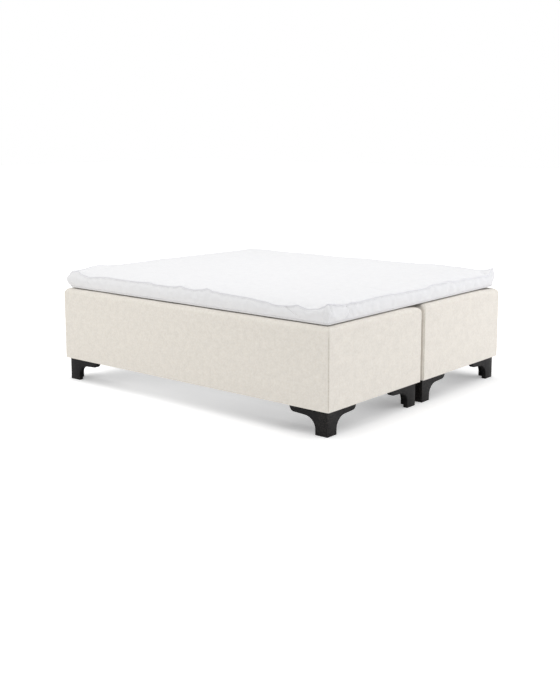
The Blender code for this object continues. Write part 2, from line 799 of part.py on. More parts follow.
def build_corners(side, sign, unit, meshes, looks):
    """The leg, bolt and corner block at each corner of one unit."""
    turns = {(-1, -1): 0, (1, -1): 1, (1, 1): 2, (-1, 1): 3}
    head_seat = GUSSET_TOP - GUSSET_THICKNESS - SEAT_GAP
    pieces = (
        ("corner_block", "timber", BLOCK_INSET, 0),
        ("leg", "leg lacquer", LEG_INSET, 0),
        ("leg_bolt", "steel", BOLT_INSET, head_seat),
    )
    for end_name, end in ENDS:
        for side_name, place_sign in (("outer", sign), ("inner", -sign)):
            turn = turns[place_sign, end] * math.pi / 2
            for piece, look, inset, height in pieces:
                location = (
                    place_sign * (UNIT_WIDTH / 2 - inset),
                    end * (BED_LENGTH / 2 - inset),
                    height,
                )
                name = f"{side}_{piece}_{end_name}_{side_name}"
                place(name, meshes[piece], looks[look], unit, location, turn)


def build_links(units, meshes, looks):
    """The two tongues under the left unit and the two keepers under the right one."""
    plates = (
        ("left", "link_tongue", UNIT_WIDTH / 2 - TONGUE_HOLD),
        ("right", "link_keeper", KEEPER_SET_BACK - UNIT_WIDTH / 2),
    )
    for end_name, end in ENDS:
        for side, plate, start in plates:
            location = (start, end * LINK_FROM_MIDDLE, 0)
            name = f"{side}_{plate}_{end_name}"
            place(name, meshes[plate], looks["steel"], units[side], location)


def build_topper(parent, looks):
    """The topper: its core, its two covers, and the zip between them with its slider."""
    place("topper_cover_top", topper_cover_top_mesh(), looks["topper fabric"], parent)
    place("topper_cover_base", topper_cover_base_mesh(), looks["topper fabric"], parent)
    place("topper_core", topper_core_mesh(), looks["foam"], parent)
    place("topper_zip_chain", zip_chain_mesh(), looks["zip"], parent)
    slider_place = (
        SLIDER_FROM_CORNER - TOPPER_WIDTH / 2,
        TOPPER_LENGTH / 2 + ZIP_PROUD + SEAT_GAP,
        ZIP_BOTTOM + ZIP_HEIGHT / 2,
    )
    place("topper_zip_slider", zip_slider_mesh(), looks["zip"], parent, slider_place)


def empty(name, location=(0, 0, 0)):
    """A bare parent at a place, for a group of pieces that belong together."""
    obj = bpy.data.objects.new(name, None)
    bpy.context.collection.objects.link(obj)
    obj.location = location
    return obj


def main():
    """Builds the bed: both units with their frame, padding, legs and links, and then the topper."""
    clear_scene()
    looks = {
        "base fabric": finish("base fabric", (0.78, 0.73, 0.64), 0.95),
        "topper fabric": finish("topper fabric", (0.86, 0.86, 0.87), 0.85),
        "foam": finish("foam", (0.82, 0.78, 0.55), 0.95),
        "felt": finish("felt", (0.42, 0.42, 0.43), 1.0),
        "spring pockets": finish("spring pockets", (0.75, 0.76, 0.78), 0.9),
        "timber": finish("timber", (0.62, 0.45, 0.27), 0.7),
        "board": finish("board", (0.50, 0.36, 0.22), 0.75),
        "dust cover cloth": finish("dust cover cloth", (0.06, 0.06, 0.06), 1.0),
        "leg lacquer": finish("leg lacquer", (0.022, 0.021, 0.020), 0.4),
        "steel": finish("steel", (0.55, 0.55, 0.56), 0.35, 1.0),
        "zip": finish("zip", (0.84, 0.84, 0.85), 0.5),
    }
    clear_width = UNIT_WIDTH - 2 * BLOCK_INSET
    meshes = {
        "cover": cover_mesh(),
        "border_foam": border_foam_mesh(),
        "top_foam": top_foam_mesh(),
        "felt_pad": felt_mesh(),
        "spring_core": spring_core_mesh(),
        "deck": deck_mesh(),
        "dust_cover": dust_cover_mesh(),
        "side_rail": board("side_rail", RAIL_THICKNESS, BED_LENGTH - 2 * RAIL_INSET, RAIL_HEIGHT),
        "cross_rail": board("cross_rail", clear_width, RAIL_THICKNESS, RAIL_HEIGHT),
        "corner_block": corner_block_mesh(),
        "leg": leg_mesh(),
        "leg_bolt": bolt_mesh(),
        "link_tongue": tongue_mesh(),
        "link_keeper": keeper_mesh(),
    }
    units = {side: empty(f"{side}_unit", (sign * UNIT_CENTRE, 0, 0)) for side, sign in UNITS}
    for side, sign in UNITS:
        build_padding(side, units[side], meshes, looks)
        build_frame(side, sign, units[side], meshes, looks)
        build_corners(side, sign, units[side], meshes, looks)
    build_links(units, meshes, looks)
    build_topper(empty("topper"), looks)


main()
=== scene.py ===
"""A double bed dressed for its picture: two upholstered base units on black bracket legs, one topper.

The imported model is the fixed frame. Metres, +Z up, the head end at +Y and the floor at Z = 0.
"""

from __future__ import annotations

import logging
import math
from contextlib import contextmanager
from dataclasses import dataclass
from enum import Enum
from typing import Callable, Iterator, Sequence

import bmesh
import bpy
import numpy as np
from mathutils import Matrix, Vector
from mathutils.bvhtree import BVHTree


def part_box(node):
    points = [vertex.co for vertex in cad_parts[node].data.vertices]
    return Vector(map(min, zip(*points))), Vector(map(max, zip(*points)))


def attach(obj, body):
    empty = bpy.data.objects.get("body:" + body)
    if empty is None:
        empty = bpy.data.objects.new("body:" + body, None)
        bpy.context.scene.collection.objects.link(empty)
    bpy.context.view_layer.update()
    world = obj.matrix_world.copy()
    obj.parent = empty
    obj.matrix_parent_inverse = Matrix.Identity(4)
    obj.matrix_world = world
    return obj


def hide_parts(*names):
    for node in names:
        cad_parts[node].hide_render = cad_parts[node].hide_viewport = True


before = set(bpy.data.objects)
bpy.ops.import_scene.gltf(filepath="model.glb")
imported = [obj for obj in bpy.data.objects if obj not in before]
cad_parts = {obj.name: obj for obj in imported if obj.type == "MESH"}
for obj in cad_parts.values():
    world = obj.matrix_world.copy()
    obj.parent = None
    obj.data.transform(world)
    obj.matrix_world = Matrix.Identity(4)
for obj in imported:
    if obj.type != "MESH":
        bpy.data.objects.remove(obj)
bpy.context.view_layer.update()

LOG = logging.getLogger("bed")
CLOTH_MAP = "cloth"
SHADER = "Principled BSDF"
WHITE = (1, 1, 1, 1)
TURN = 2 * math.pi
RIPPLE_WAVES = 14
TINY = 1e-6
MILLIMETRE = 0.001
ENDS = ("head", "foot")
CORNERS = tuple(f"{end}_{flank}" for end in ENDS for flank in ("outer", "inner"))
UPRIGHT = (Vector((1, 0, 0)), Vector((0, 1, 0)), Vector((0, 0, 1)))
UP = UPRIGHT[2]

Array = np.ndarray
Material = bpy.types.Material
Object = bpy.types.Object
Socket = bpy.types.NodeSocket
Tree = bpy.types.NodeTree


class Side(Enum):
    """Which of the two base units a piece belongs to."""

    LEFT = "left"
    RIGHT = "right"


@dataclass(frozen=True)
class Box:
    """A CAD node's box."""

    low: Vector
    high: Vector

    @classmethod
    def of(cls, node: str) -> Box:
        """The box of the node of this name."""
        return cls(*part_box(node))

    @property
    def centre(self) -> Vector:
        """Its middle."""
        return (self.low + self.high) / 2

    @property
    def half(self) -> tuple[float, float]:
        """Half its width and half its length."""
        return (self.high.x - self.low.x) / 2, (self.high.y - self.low.y) / 2


def begin() -> None:
    """Leaves edit mode and deselects everything."""
    if bpy.context.object and bpy.context.object.mode != "OBJECT":
        bpy.ops.object.mode_set(mode="OBJECT")
    bpy.ops.object.select_all(action="DESELECT")


def activate(obj: Object) -> None:
    """Makes one object the only selected and active one.

    Args:
        obj: The object that the next operator acts on.
    """
    begin()
    obj.select_set(True)
    bpy.context.view_layer.objects.active = obj


@contextmanager
def editing(obj: Object) -> Iterator[None]:
    """Edit mode on one object, with all of it selected at the start.

    Args:
        obj: The object to edit.

    Yields:
        Nothing.
    """
    activate(obj)
    bpy.ops.object.mode_set(mode="EDIT")
    bpy.ops.mesh.select_all(action="SELECT")
    yield
    bpy.ops.object.mode_set(mode="OBJECT")


def select_faces(obj: Object, chosen: Callable[[bmesh.types.BMFace], bool]) -> None:
    """Selects only some faces of the object in edit mode.

    Args:
        obj: The object.
        chosen: Says of a face whether it is selected.
    """
    bpy.ops.mesh.select_all(action="DESELECT")
    for face in bmesh.from_edit_mesh(obj.data).faces:
        if chosen(face):
            face.select_set(True)
    bmesh.update_edit_mesh(obj.data)


def select_rim() -> None:
    """Selects only the open rims of the object in edit mode."""
    bpy.ops.mesh.select_mode(type="EDGE")
    bpy.ops.mesh.select_all(action="DESELECT")
    bpy.ops.mesh.select_non_manifold(
        extend=False, use_wire=False, use_boundary=True, use_multi_face=False,
        use_non_contiguous=False, use_verts=False,
    )


def pull_rim(rise: float) -> None:
    """Extrudes the selected edges upwards in edit mode."""
    bpy.ops.mesh.extrude_edges_move(TRANSFORM_OT_translate={"value": (0, 0, rise)})


def close_rim() -> None:
    """Fills the selected rim in edit mode, and turns all faces outwards."""
    bpy.ops.mesh.edge_face_add()
    bpy.ops.mesh.select_all(action="SELECT")
    bpy.ops.mesh.normals_make_consistent(inside=False)


def cut(place: Sequence[float], facing: Sequence[float], **options: bool) -> None:
    """Cuts the whole mesh in edit mode along a plane.

    Args:
        place: A point of the plane.
        facing: The plane's normal.
        **options: Which half is cleared, and whether the cut is filled.
    """
    bpy.ops.mesh.select_all(action="SELECT")
    bpy.ops.mesh.bisect(plane_co=place, plane_no=facing, **options)


def turn_over(obj: Object) -> None:
    """Turns every face of an object over."""
    with editing(obj):
        bpy.ops.mesh.flip_normals()


def settle(obj: Object, name: str) -> Object:
    """Names an object and moves its place, turn and scale into its mesh.

    Args:
        obj: The object to settle.
        name: Its name from now on.

    Returns:
        The same object, at the origin.
    """
    activate(obj)
    bpy.ops.object.transform_apply(location=True, rotation=True, scale=True)
    obj.name = name
    obj.data.name = name
    return obj


def primitive(kind: str, name: str, **settings: object) -> Object:
    """Adds a primitive as the start of a piece.

    Args:
        kind: Which primitive, as its operator is named.
        name: The object's name.
        **settings: The operator's settings.

    Returns:
        The primitive, with its place in its mesh.
    """
    begin()
    getattr(bpy.ops.mesh, f"primitive_{kind}_add")(**settings)
    return settle(bpy.context.object, name)


def cube(name: str, low: Sequence[float], high: Sequence[float]) -> Object:
    """A box between two corners, as the start of a piece.

    Args:
        name: The object's name.
        low: Its lowest corner.
        high: Its highest corner.

    Returns:
        The box.
    """
    middle = [(a + b) / 2 for a, b in zip(low, high)]
    extent = [b - a for a, b in zip(low, high)]
    return primitive("cube", name, size=1, location=middle, scale=extent)


def apply_all(obj: Object) -> None:
    """Applies every modifier of an object, in order."""
    activate(obj)
    for modifier in list(obj.modifiers):
        bpy.ops.object.modifier_apply(modifier=modifier.name)


def modify(obj: Object, kind: str, **settings: object) -> None:
    """Adds a modifier and applies it.

    Args:
        obj: The object.
        kind: The modifier's type.
        **settings: Its settings.
    """
    modifier = obj.modifiers.new(kind.lower(), kind)
    for name, value in settings.items():
        setattr(modifier, name, value)
    apply_all(obj)


def subdivide(obj: Object) -> None:
    """Refines an object by one level of subdivision."""
    modify(obj, "SUBSURF", levels=1, render_levels=1)


def bevel(obj: Object, width: float, segments: int = 2, angle: float = 30) -> None:
    """Bevels the edges that are sharper than an angle.

    Args:
        obj: The object to bevel.
        width: The bevel's width.
        segments: How many faces across it.
        angle: The limit angle in degrees.
    """
    limit = math.radians(angle)
    modify(obj, "BEVEL", width=width, segments=segments, limit_method="ANGLE", angle_limit=limit)


def smooth(obj: Object, angle: float) -> None:
    """Shades an object smooth, apart from edges sharper than an angle in degrees."""
    activate(obj)
    bpy.ops.object.shade_smooth_by_angle(angle=math.radians(angle))


def read(items: bpy.types.bpy_prop_collection, name: str, width: int = 1, kind: type = np.float32) -> Array:
    """One attribute of all the items of a mesh.

    Args:
        items: The vertices, edges, loops or faces.
        name: The attribute.
        width: How many numbers it has for each item.
        kind: What numbers they are.

    Returns:
        One row for each item.
    """
    values = np.zeros(len(items) * width, kind)
    items.foreach_get(name, values)
    return values.reshape(-1, width) if width > 1 else values


def points_of(obj: Object) -> Array:
    """The places of an object's vertices, one row for each."""
    return read(obj.data.vertices, "co", 3).astype(float)


def normals_of(obj: Object) -> Array:
    """The normals of an object's vertices, one row for each."""
    return read(obj.data.vertices, "normal", 3).astype(float)


def set_points(obj: Object, places: Array) -> None:
    """Moves an object's vertices to new places."""
    obj.data.vertices.foreach_set("co", places.astype(np.float32).ravel())
    obj.data.update()


def shown_as(name: str, data: bpy.types.ID) -> Object:
    """A new object in the scene for a mesh, a lamp or a camera."""
    obj = bpy.data.objects.new(name, data)
    bpy.context.scene.collection.objects.link(obj)
    return obj


def join(pieces: Sequence[Object], name: str) -> Object:
    """Joins objects into one.

    Args:
        pieces: The objects.
        name: The joined object's name.

    Returns:
        The joined object.
    """
    activate(pieces[0])
    for piece in pieces[1:]:
        piece.select_set(True)
    bpy.ops.object.join()
    return settle(bpy.context.object, name)


def copies(model: Object, frames: Sequence[Sequence[Vector]], name: str) -> Object:
    """One object made of many copies of a small one, which is then removed.

    Args:
        model: The small piece, modelled about the origin.
        frames: For each copy its place and where its X, Y and Z directions point.
        name: The new object's name.

    Returns:
        The object with all the copies.
    """
    corners = points_of(model)
    faces = [list(face.vertices) for face in model.data.polygons]
    all_corners: list = []
    all_faces: list = []
    for place, *directions in frames:
        start = len(all_corners)
        turned = corners @ np.array([list(direction) for direction in directions], float)
        all_corners.extend((turned + np.array(list(place), float)).tolist())
        all_faces.extend([[start + index for index in face] for face in faces])
    mesh = bpy.data.meshes.new(name)
    mesh.from_pydata(all_corners, [], all_faces)
    bpy.data.objects.remove(model)
    return shown_as(name, mesh)


def copy_of(node: str, name: str) -> Object:
    """A merged copy of a CAD node, to be finished as a piece of its own.

    Args:
        node: The CAD node.
        name: The copy's name.

    Returns:
        The copy, with its flat faces whole again.
    """
    obj = shown_as(name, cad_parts[node].data.copy())
    with editing(obj):
        bpy.ops.mesh.remove_doubles(threshold=0.00002)
        bpy.ops.mesh.customdata_custom_splitnormals_clear()
        bpy.ops.mesh.dissolve_limited(angle_limit=math.radians(2))
    return obj


def thread_stitch(length: float, radius: float) -> Object:
    """One stitch of thread along X, to be copied.

    Args:
        length: Its length.
        radius: The thread's radius.

    Returns:
        The stitch.
    """
    lying = (0, math.pi / 2, 0)
    stitch = primitive("uv_sphere", "stitch", segments=6, ring_count=4, radius=0.5, rotation=lying)
    set_points(stitch, points_of(stitch) * np.array([length, 2 * radius, 2 * radius]))
    return stitch


def hill(value: Array, centre: float, width: float) -> Array:
    """A smooth hill of height 1 about a centre, 0.37 high at its width."""
    return np.exp(-(((value - centre) / width) ** 2))


def wavy(value: Array, length: float, shift: Array | float = 0.0) -> Array:
    """A sine of a wave length, shifted by an angle."""
    return np.sin(value * TURN / length + shift)


def ripple(places: Array, length: float, seed: int) -> Array:
    """Smooth unevenness from a sum of waves in fixed random directions.

    Args:
        places: Points in space.
        length: The mean wave length.
        seed: Which of the patterns.

    Returns:
        A value for each point, mostly between -1 and 1.
    """
    draw = np.random.default_rng(seed)
    total = np.zeros(len(places))
    for _ in range(RIPPLE_WAVES):
        direction = draw.normal(size=3)
        direction /= np.linalg.norm(direction)
        pace = TURN / (length * draw.uniform(0.7, 1.5))
        total += np.sin(places @ direction * pace + draw.uniform(0, TURN))
    return total / math.sqrt(RIPPLE_WAVES)


def eased(value: Array, start: float, end: float) -> Array:
    """A smooth step of the value, from 0 at start to 1 at end."""
    share = np.clip((value - start) / (end - start), 0, 1)
    return share * share * (3 - 2 * share)


def metric_map(obj: Object) -> None:
    """Gives the mesh a UV map in metres, each face laid out along its main direction.

    Args:
        obj: The object whose cloth pattern follows its faces.
    """
    mesh = obj.data
    layer = mesh.uv_layers.get(CLOTH_MAP) or mesh.uv_layers.new(name=CLOTH_MAP)
    totals = read(mesh.polygons, "loop_total", kind=np.int32)
    main = np.repeat(np.abs(read(mesh.polygons, "normal", 3)).argmax(axis=1), totals)
    places = points_of(obj)[read(mesh.loops, "vertex_index", kind=np.int32)]
    along = np.where(main == 0, places[:, 1], places[:, 0])
    up = np.where(main == 2, places[:, 1], places[:, 2])
    layer.data.foreach_set("uv", np.stack([along, up], axis=1).astype(np.float32).ravel())


class Wiring:
    """A node tree that is being filled."""

    def __init__(self, tree: Tree) -> None:
        """Starts on the tree of a material, a world or a group."""
        self.tree = tree

    def put(self, node: bpy.types.Node, inputs: dict) -> bpy.types.Node:
        """Sets or links a node's inputs.

        Args:
            node: The node.
            inputs: Values or sockets for its inputs, by name or number.

        Returns:
            The node.
        """
        for name, value in inputs.items():
            if isinstance(value, Socket):
                self.tree.links.new(value, node.inputs[name])
            else:
                node.inputs[name].default_value = value
        return node

    def add(self, kind: str, inputs: dict | None = None, **settings: object) -> bpy.types.Node:
        """Adds a node with its settings and inputs.

        Args:
            kind: The node's type, without its ShaderNode prefix.
            inputs: Values or sockets for its inputs, by name or number.
            **settings: Attributes of the node.

        Returns:
            The new node.
        """
        node = self.tree.nodes.new(kind if kind.startswith("Node") else "ShaderNode" + kind)
        for name, value in settings.items():
            setattr(node, name, value)
        return self.put(node, inputs or {})

    def math(self, operation: str, first: object, second: object = 0.0, third: object = 0.0) -> Socket:
        """The result of a Math node on up to three values or sockets."""
        return self.add("Math", {0: first, 1: second, 2: third}, operation=operation).outputs[0]

    def times(self, first: object, second: object) -> Socket:
        """The product of two values or sockets."""
        return self.math("MULTIPLY", first, second)

    def less(self, first: object, second: object) -> Socket:
        """The first value or socket less the second."""
        return self.math("SUBTRACT", first, second)

    def spread(self, value: object, start: float, end: float, low: float = 0.0, high: float = 1.0) -> Socket:
        """Maps a value between start and end to low and high, and holds it there.

        Args:
            value: The socket to map.
            start: The value that gives low.
            end: The value that gives high.
            low: The result at the start.
            high: The result at the end.

        Returns:
            The result's socket.
        """
        inputs = {"Value": value, "From Min": start, "From Max": end, "To Min": low, "To Max": high}
        return self.add("MapRange", inputs).outputs["Result"]

    def colours(self, factor: object, first: object, second: object, mode: str = "MIX") -> Socket:
        """Mixes so much of the second colour into the first."""
        inputs = {0: factor, 6: first, 7: second}
        return self.add("Mix", inputs, data_type="RGBA", blend_type=mode).outputs[2]

    def noise(self, place: object, scale: object, detail: float, **more: float) -> Socket:
        """A noise of a scale and detail, with more of its inputs by name."""
        inputs = {"Vector": place, "Scale": scale, "Detail": detail, **more}
        return self.add("TexNoise", inputs).outputs["Fac"]

    def cells(self, place: object, scale: object, output: str, randomness: float = 1.0) -> Socket:
        """The Distance or Color output of a Voronoi texture."""
        inputs = {"Vector": place, "Scale": scale, "Randomness": randomness}
        return self.add("TexVoronoi", inputs).outputs[output]

    def soft_cells(self, place: object, scale: object) -> Socket:
        """The distance in rounded Voronoi cells."""
        inputs = {"Vector": place, "Scale": scale}
        return self.add("TexVoronoi", inputs, feature="SMOOTH_F1").outputs["Distance"]

    def bump(self, height: object, strength: float, distance: float, normal: Socket | None = None) -> Socket:
        """Adds a Bump node.

        Args:
            height: The height socket.
            strength: How strong it is.
            distance: Its depth in metres.
            normal: A normal to start from.

        Returns:
            The normal's socket.
        """
        inputs = {"Height": height, "Strength": strength, "Distance": distance}
        if normal is not None:
            inputs["Normal"] = normal
        return self.add("Bump", inputs).outputs["Normal"]


def tint(red: float, green: float, blue: float) -> tuple[float, float, float, float]:
    """A colour as the screen shows it, from 0 to 255, made linear and opaque."""
    linear = []
    for value in (red / 255, green / 255, blue / 255):
        linear.append(value / 12.92 if value <= 0.04045 else ((value + 0.055) / 1.055) ** 2.4)
    return (linear[0], linear[1], linear[2], 1.0)


class Effects:
    """The node groups that several finishes share, each built when it is first used."""

    def use(self, wiring: Wiring, name: str, place: Socket, **inputs: float) -> bpy.types.bpy_prop_collection:
        """Places a group in a material.

        Args:
            wiring: The material's wiring.
            name: Which group: fibre, weave, grain, wear or dust.
            place: The coordinates that its pattern follows.
            **inputs: Its other inputs.

        Returns:
            The group's outputs, by name.
        """
        tree = bpy.data.node_groups.get(name)
        if tree is None:
            tree = bpy.data.node_groups.new(name, "ShaderNodeTree")
            getattr(self, "build_" + name)(tree)
        node = wiring.add("Group")
        node.node_tree = tree
        return wiring.put(node, {"Vector": place, **inputs}).outputs

    def open(self, tree: Tree, inputs: dict[str, float], *outputs: str) -> tuple[Wiring, Socket, dict]:
        """Gives a group its sockets.

        Args:
            tree: The group.
            inputs: Its inputs after the vector, with their defaults.
            *outputs: The names of its outputs.

        Returns:
            The group's wiring, its vector and its other inputs.
        """
        tree.interface.new_socket("Vector", in_out="INPUT", socket_type="NodeSocketVector")
        for name, value in inputs.items():
            made = tree.interface.new_socket(name, in_out="INPUT", socket_type="NodeSocketFloat")
            made.default_value = value
        for name in outputs:
            tree.interface.new_socket(name, in_out="OUTPUT", socket_type="NodeSocketFloat")
        w = Wiring(tree)
        entry = w.add("NodeGroupInput").outputs
        return w, entry["Vector"], {name: entry[name] for name in inputs}

    def build_fibre(self, tree: Tree) -> None:
        """Fine matted fibres: a height and an uneven shade."""
        w, place, given = self.open(tree, {"Scale": 900.0}, "Height", "Shade")
        fine = w.noise(place, given["Scale"], 4.0, Distortion=1.6)
        broad = w.noise(place, w.times(given["Scale"], 0.02), 3.0)
        w.add("NodeGroupOutput", {"Height": fine, "Shade": w.spread(broad, 0.35, 0.65)})

    def build_weave(self, tree: Tree) -> None:
        """A plain weave of slubby yarn: its height, how much the weft shows, and specks."""
        w, flat, given = self.open(tree, {"Pitch": 0.004, "Slub": 0.3}, "Height", "Weft", "Speckle")
        pitch = given["Pitch"]
        wander = w.add("TexNoise", {"Vector": flat, "Scale": 90.0, "Detail": 2.0}).outputs["Color"]
        shift = w.add("VectorMath", {0: wander, 1: (0.5, 0.5, 0.5)}, operation="SUBTRACT").outputs[0]
        amount = w.times(given["Slub"], pitch)
        pushed = w.add("VectorMath", {0: shift, "Scale": amount}, operation="SCALE").outputs[0]
        place = w.add("VectorMath", {0: flat, 1: pushed}, operation="ADD").outputs[0]
        axes = w.add("SeparateXYZ", {0: place}).outputs
        pace = w.math("DIVIDE", math.pi, pitch)
        across = w.math("SINE", w.times(axes["X"], pace))
        along = w.math("SINE", w.times(axes["Y"], pace))
        weft = w.spread(w.times(across, along), -0.25, 0.25)
        over = w.times(w.math("ABSOLUTE", across), weft)
        under = w.times(w.math("ABSOLUTE", along), w.less(1.0, weft))
        yarn = w.math("ADD", over, under)
        loop = w.less(1.0, w.soft_cells(place, w.math("DIVIDE", 0.7, pitch)))
        height = w.math("ADD", w.times(yarn, 0.55), w.times(loop, 0.45))
        dots = w.noise(flat, w.math("DIVIDE", 0.32, pitch), 2.0, Roughness=0.7)
        outputs = {"Height": height, "Weft": weft, "Speckle": w.spread(dots, 0.36, 0.64)}
        w.add("NodeGroupOutput", outputs)

    def build_grain(self, tree: Tree) -> None:
        """Wood grain along X: a shade of early and late wood, and the height of its pores."""
        w, place, given = self.open(tree, {"Scale": 12.0}, "Shade", "Pores")
        drawn = w.add("Mapping", {"Vector": place, "Scale": (0.06, 1.0, 1.0)}).outputs[0]
        rings = w.math("SINE", w.times(w.noise(drawn, given["Scale"], 3.0, Distortion=0.6), 70.0))
        pores = w.noise(drawn, w.times(given["Scale"], 60.0), 2.0)
        w.add("NodeGroupOutput", {"Shade": w.spread(rings, -1.0, 1.0), "Pores": w.spread(pores, 0.45, 0.7)})

    def build_wear(self, tree: Tree) -> None:
        """A broken mask along the outer edges of a hard piece."""
        w, place, given = self.open(tree, {"Amount": 0.5}, "Mask")
        edge = w.spread(w.add("NewGeometry").outputs["Pointiness"], 0.515, 0.57)
        patches = w.spread(w.noise(place, 140.0, 5.0, Roughness=0.7), 0.48, 0.62)
        w.add("NodeGroupOutput", {"Mask": w.times(w.times(edge, patches), given["Amount"])})

    def build_dust(self, tree: Tree) -> None:
        """Dust that settles on faces that look up."""
        w, place, given = self.open(tree, {"Amount": 0.3}, "Mask")
        normal = w.add("NewGeometry").outputs["Normal"]
        upward = w.spread(w.add("SeparateXYZ", {0: normal}).outputs["Z"], 0.2, 1.0)
        mask = w.times(w.times(upward, w.noise(place, 18.0, 6.0)), given["Amount"])
        w.add("NodeGroupOutput", {"Mask": mask})


EFFECTS = Effects()


@dataclass(frozen=True)
class Finish:
    """A finish with its name and the plain values of its shader, which all the finishes share."""

    name: str
    roughness: float = 0.8
    metallic: float = 0.0
    sheen: float = 0.0
    coat: float = 0.0
    specular: float = 0.5

    def make(self) -> Material:
        """The finish's material, made once.

        Returns:
            The material.
        """
        made = bpy.data.materials.get(self.name)
        if made:
            return made
        material = bpy.data.materials.new(self.name)
        material.use_nodes = True
        w = Wiring(material.node_tree)
        shader = w.put(material.node_tree.nodes[SHADER], {
            "Roughness": self.roughness, "Metallic": self.metallic, "Coat Weight": self.coat,
            "Sheen Weight": self.sheen, "Sheen Roughness": 0.5, "Specular IOR Level": self.specular,
        })
        colour, rough, normal = self.surface(w, w.add("TexCoord").outputs["Object"])
        w.put(shader, {"Base Color": colour, "Roughness": rough, "Normal": normal})
        return material

    def surface(self, w: Wiring, place: Socket) -> tuple[Socket, Socket, Socket]:
        """What changes over the surface; each finish has its own.

        Args:
            w: The material's wiring.
            place: The object coordinates.

        Returns:
            The colour, the roughness and the normal.
        """
        raise NotImplementedError

    def rough(self, w: Wiring, value: Socket, start: float, end: float, less: float, more: float = 0.0) -> Socket:
        """The finish's roughness, so much less at the start and more at the end of a value's range."""
        return w.spread(value, start, end, self.roughness - less, self.roughness + more)


@dataclass(frozen=True)
class WovenFabric(Finish):
    """Thick cream upholstery: slubby yarn in a plain weave, with warm and pale specks."""

    warp: tuple = tint(250, 246, 239)
    weft: tuple = tint(245, 239, 229)
    fleck: tuple = tint(230, 221, 207)
    pitch: float = 0.0042

    def surface(self, w: Wiring, place: Socket) -> tuple[Socket, Socket, Socket]:
        """Yarns with flecks, with painted shade between them, under fine fibres; see Finish."""
        flat = w.add("UVMap", uv_map=CLOTH_MAP).outputs["UV"]
        cloth = EFFECTS.use(w, "weave", flat, Pitch=self.pitch, Slub=0.55)
        fibre = EFFECTS.use(w, "fibre", place, Scale=1500.0)
        yarns = w.colours(cloth["Weft"], self.warp, self.weft)
        speckled = w.colours(w.times(cloth["Speckle"], 0.32), yarns, self.fleck)
        # Painted shade: darker where the weave is low, between the yarns.
        painted_gap_shade = w.spread(cloth["Height"], 0.15, 0.75, 0.92, 1.0)
        shade = w.times(painted_gap_shade, w.spread(fibre["Shade"], 0.0, 1.0, 0.965, 1.015))
        grey = w.add("CombineColor", {0: shade, 1: shade, 2: shade}).outputs[0]
        soft = w.bump(cloth["Height"], 0.9, 0.0011)
        return (
            w.colours(1.0, speckled, grey, "MULTIPLY"),
            self.rough(w, fibre["Height"], 0.3, 0.7, 0.07),
            w.bump(fibre["Height"], 0.5, 0.0004, soft),
        )


@dataclass(frozen=True)
class KnitFabric(Finish):
    """Close knit of the topper: fine stitches with a faint damask of small blisters."""

    colour: tuple = tint(244, 244, 245)
    # The colour of painted shade in the knit's hollows, also mixed in as uneven tone.
    hollow_shade: tuple = tint(233, 233, 236)
    stitch: float = 0.0016
    blister: float = 0.5

    def surface(self, w: Wiring, place: Socket) -> tuple[Socket, Socket, Socket]:
        """Stitches with painted shade in their hollows, over slanted blisters; see Finish."""
        flat = w.add("UVMap", uv_map=CLOTH_MAP).outputs["UV"]
        knit = EFFECTS.use(w, "weave", flat, Pitch=self.stitch, Slub=0.2)
        fibre = EFFECTS.use(w, "fibre", place, Scale=1300.0)
        slant = {"Vector": flat, "Rotation": (0, 0, math.radians(38)), "Scale": (1.0, 2.4, 1.0)}
        marks = w.soft_cells(w.add("Mapping", slant).outputs[0], 42.0)
        # Painted shade: the darker colour where the knit is low.
        hollow_shading = w.times(w.spread(knit["Height"], 0.1, 0.7, 1.0, 0.0), 0.5)
        base = w.colours(hollow_shading, self.colour, self.hollow_shade)
        blisters = w.bump(w.spread(marks, 0.15, 0.55, 1.0, 0.0), self.blister, 0.0009)
        stitches = w.bump(knit["Height"], 0.6, 0.0004, blisters)
        return (
            w.colours(w.times(fibre["Shade"], 0.25), base, self.hollow_shade),
            self.rough(w, fibre["Height"], 0.3, 0.7, 0.08),
            w.bump(fibre["Height"], 0.3, 0.0002, stitches),
        )


@dataclass(frozen=True)
class SatinLacquer(Finish):
    """Black satin lacquer over wood: the grain just telegraphs, edges are rubbed a little."""

    colour: tuple = tint(27, 26, 27)
    darker: tuple = tint(21, 20, 21)
    rubbed: tuple = tint(70, 66, 62)
    dusty: tuple = tint(96, 95, 92)

    def surface(self, w: Wiring, place: Socket) -> tuple[Socket, Socket, Socket]:
        """Lacquer with a hint of grain, rubbed edges and dust, smeared a little; see Finish."""
        grain = EFFECTS.use(w, "grain", place, Scale=16.0)
        wear = EFFECTS.use(w, "wear", place, Amount=0.5)
        dust = EFFECTS.use(w, "dust", place, Amount=0.12)
        shaded = w.colours(w.times(grain["Shade"], 0.3), self.colour, self.darker)
        worn = w.colours(wear["Mask"], shaded, self.rubbed)
        return (
            w.colours(dust["Mask"], worn, self.dusty),
            self.rough(w, w.noise(place, 22.0, 4.0), 0.35, 0.65, 0.06, 0.08),
            w.bump(grain["Pores"], 0.25, 0.0002),
        )


@dataclass(frozen=True)
class Wood(Finish):
    """Bare wood, sawn or planed, with its grain along one direction."""

    early: tuple = tint(222, 190, 146)
    late: tuple = tint(190, 146, 98)
    pore: tuple = tint(150, 108, 70)
    turn: float = 0.0

    def surface(self, w: Wiring, place: Socket) -> tuple[Socket, Socket, Socket]:
        """Early and late wood with dark pores and pale worn edges; see Finish."""
        turned = w.add("Mapping", {"Vector": place, "Rotation": (0, 0, self.turn)}).outputs[0]
        grain = EFFECTS.use(w, "grain", turned, Scale=9.0)
        wear = EFFECTS.use(w, "wear", place, Amount=0.3)
        wood = w.colours(w.times(grain["Shade"], 0.75), self.early, self.late)
        pored = w.colours(w.times(grain["Pores"], 0.25), wood, self.pore)
        return (
            w.colours(wear["Mask"], pored, self.early),
            self.rough(w, grain["Pores"], 0.0, 1.0, 0.05, 0.1),
            w.bump(grain["Pores"], 0.4, 0.0003),
        )


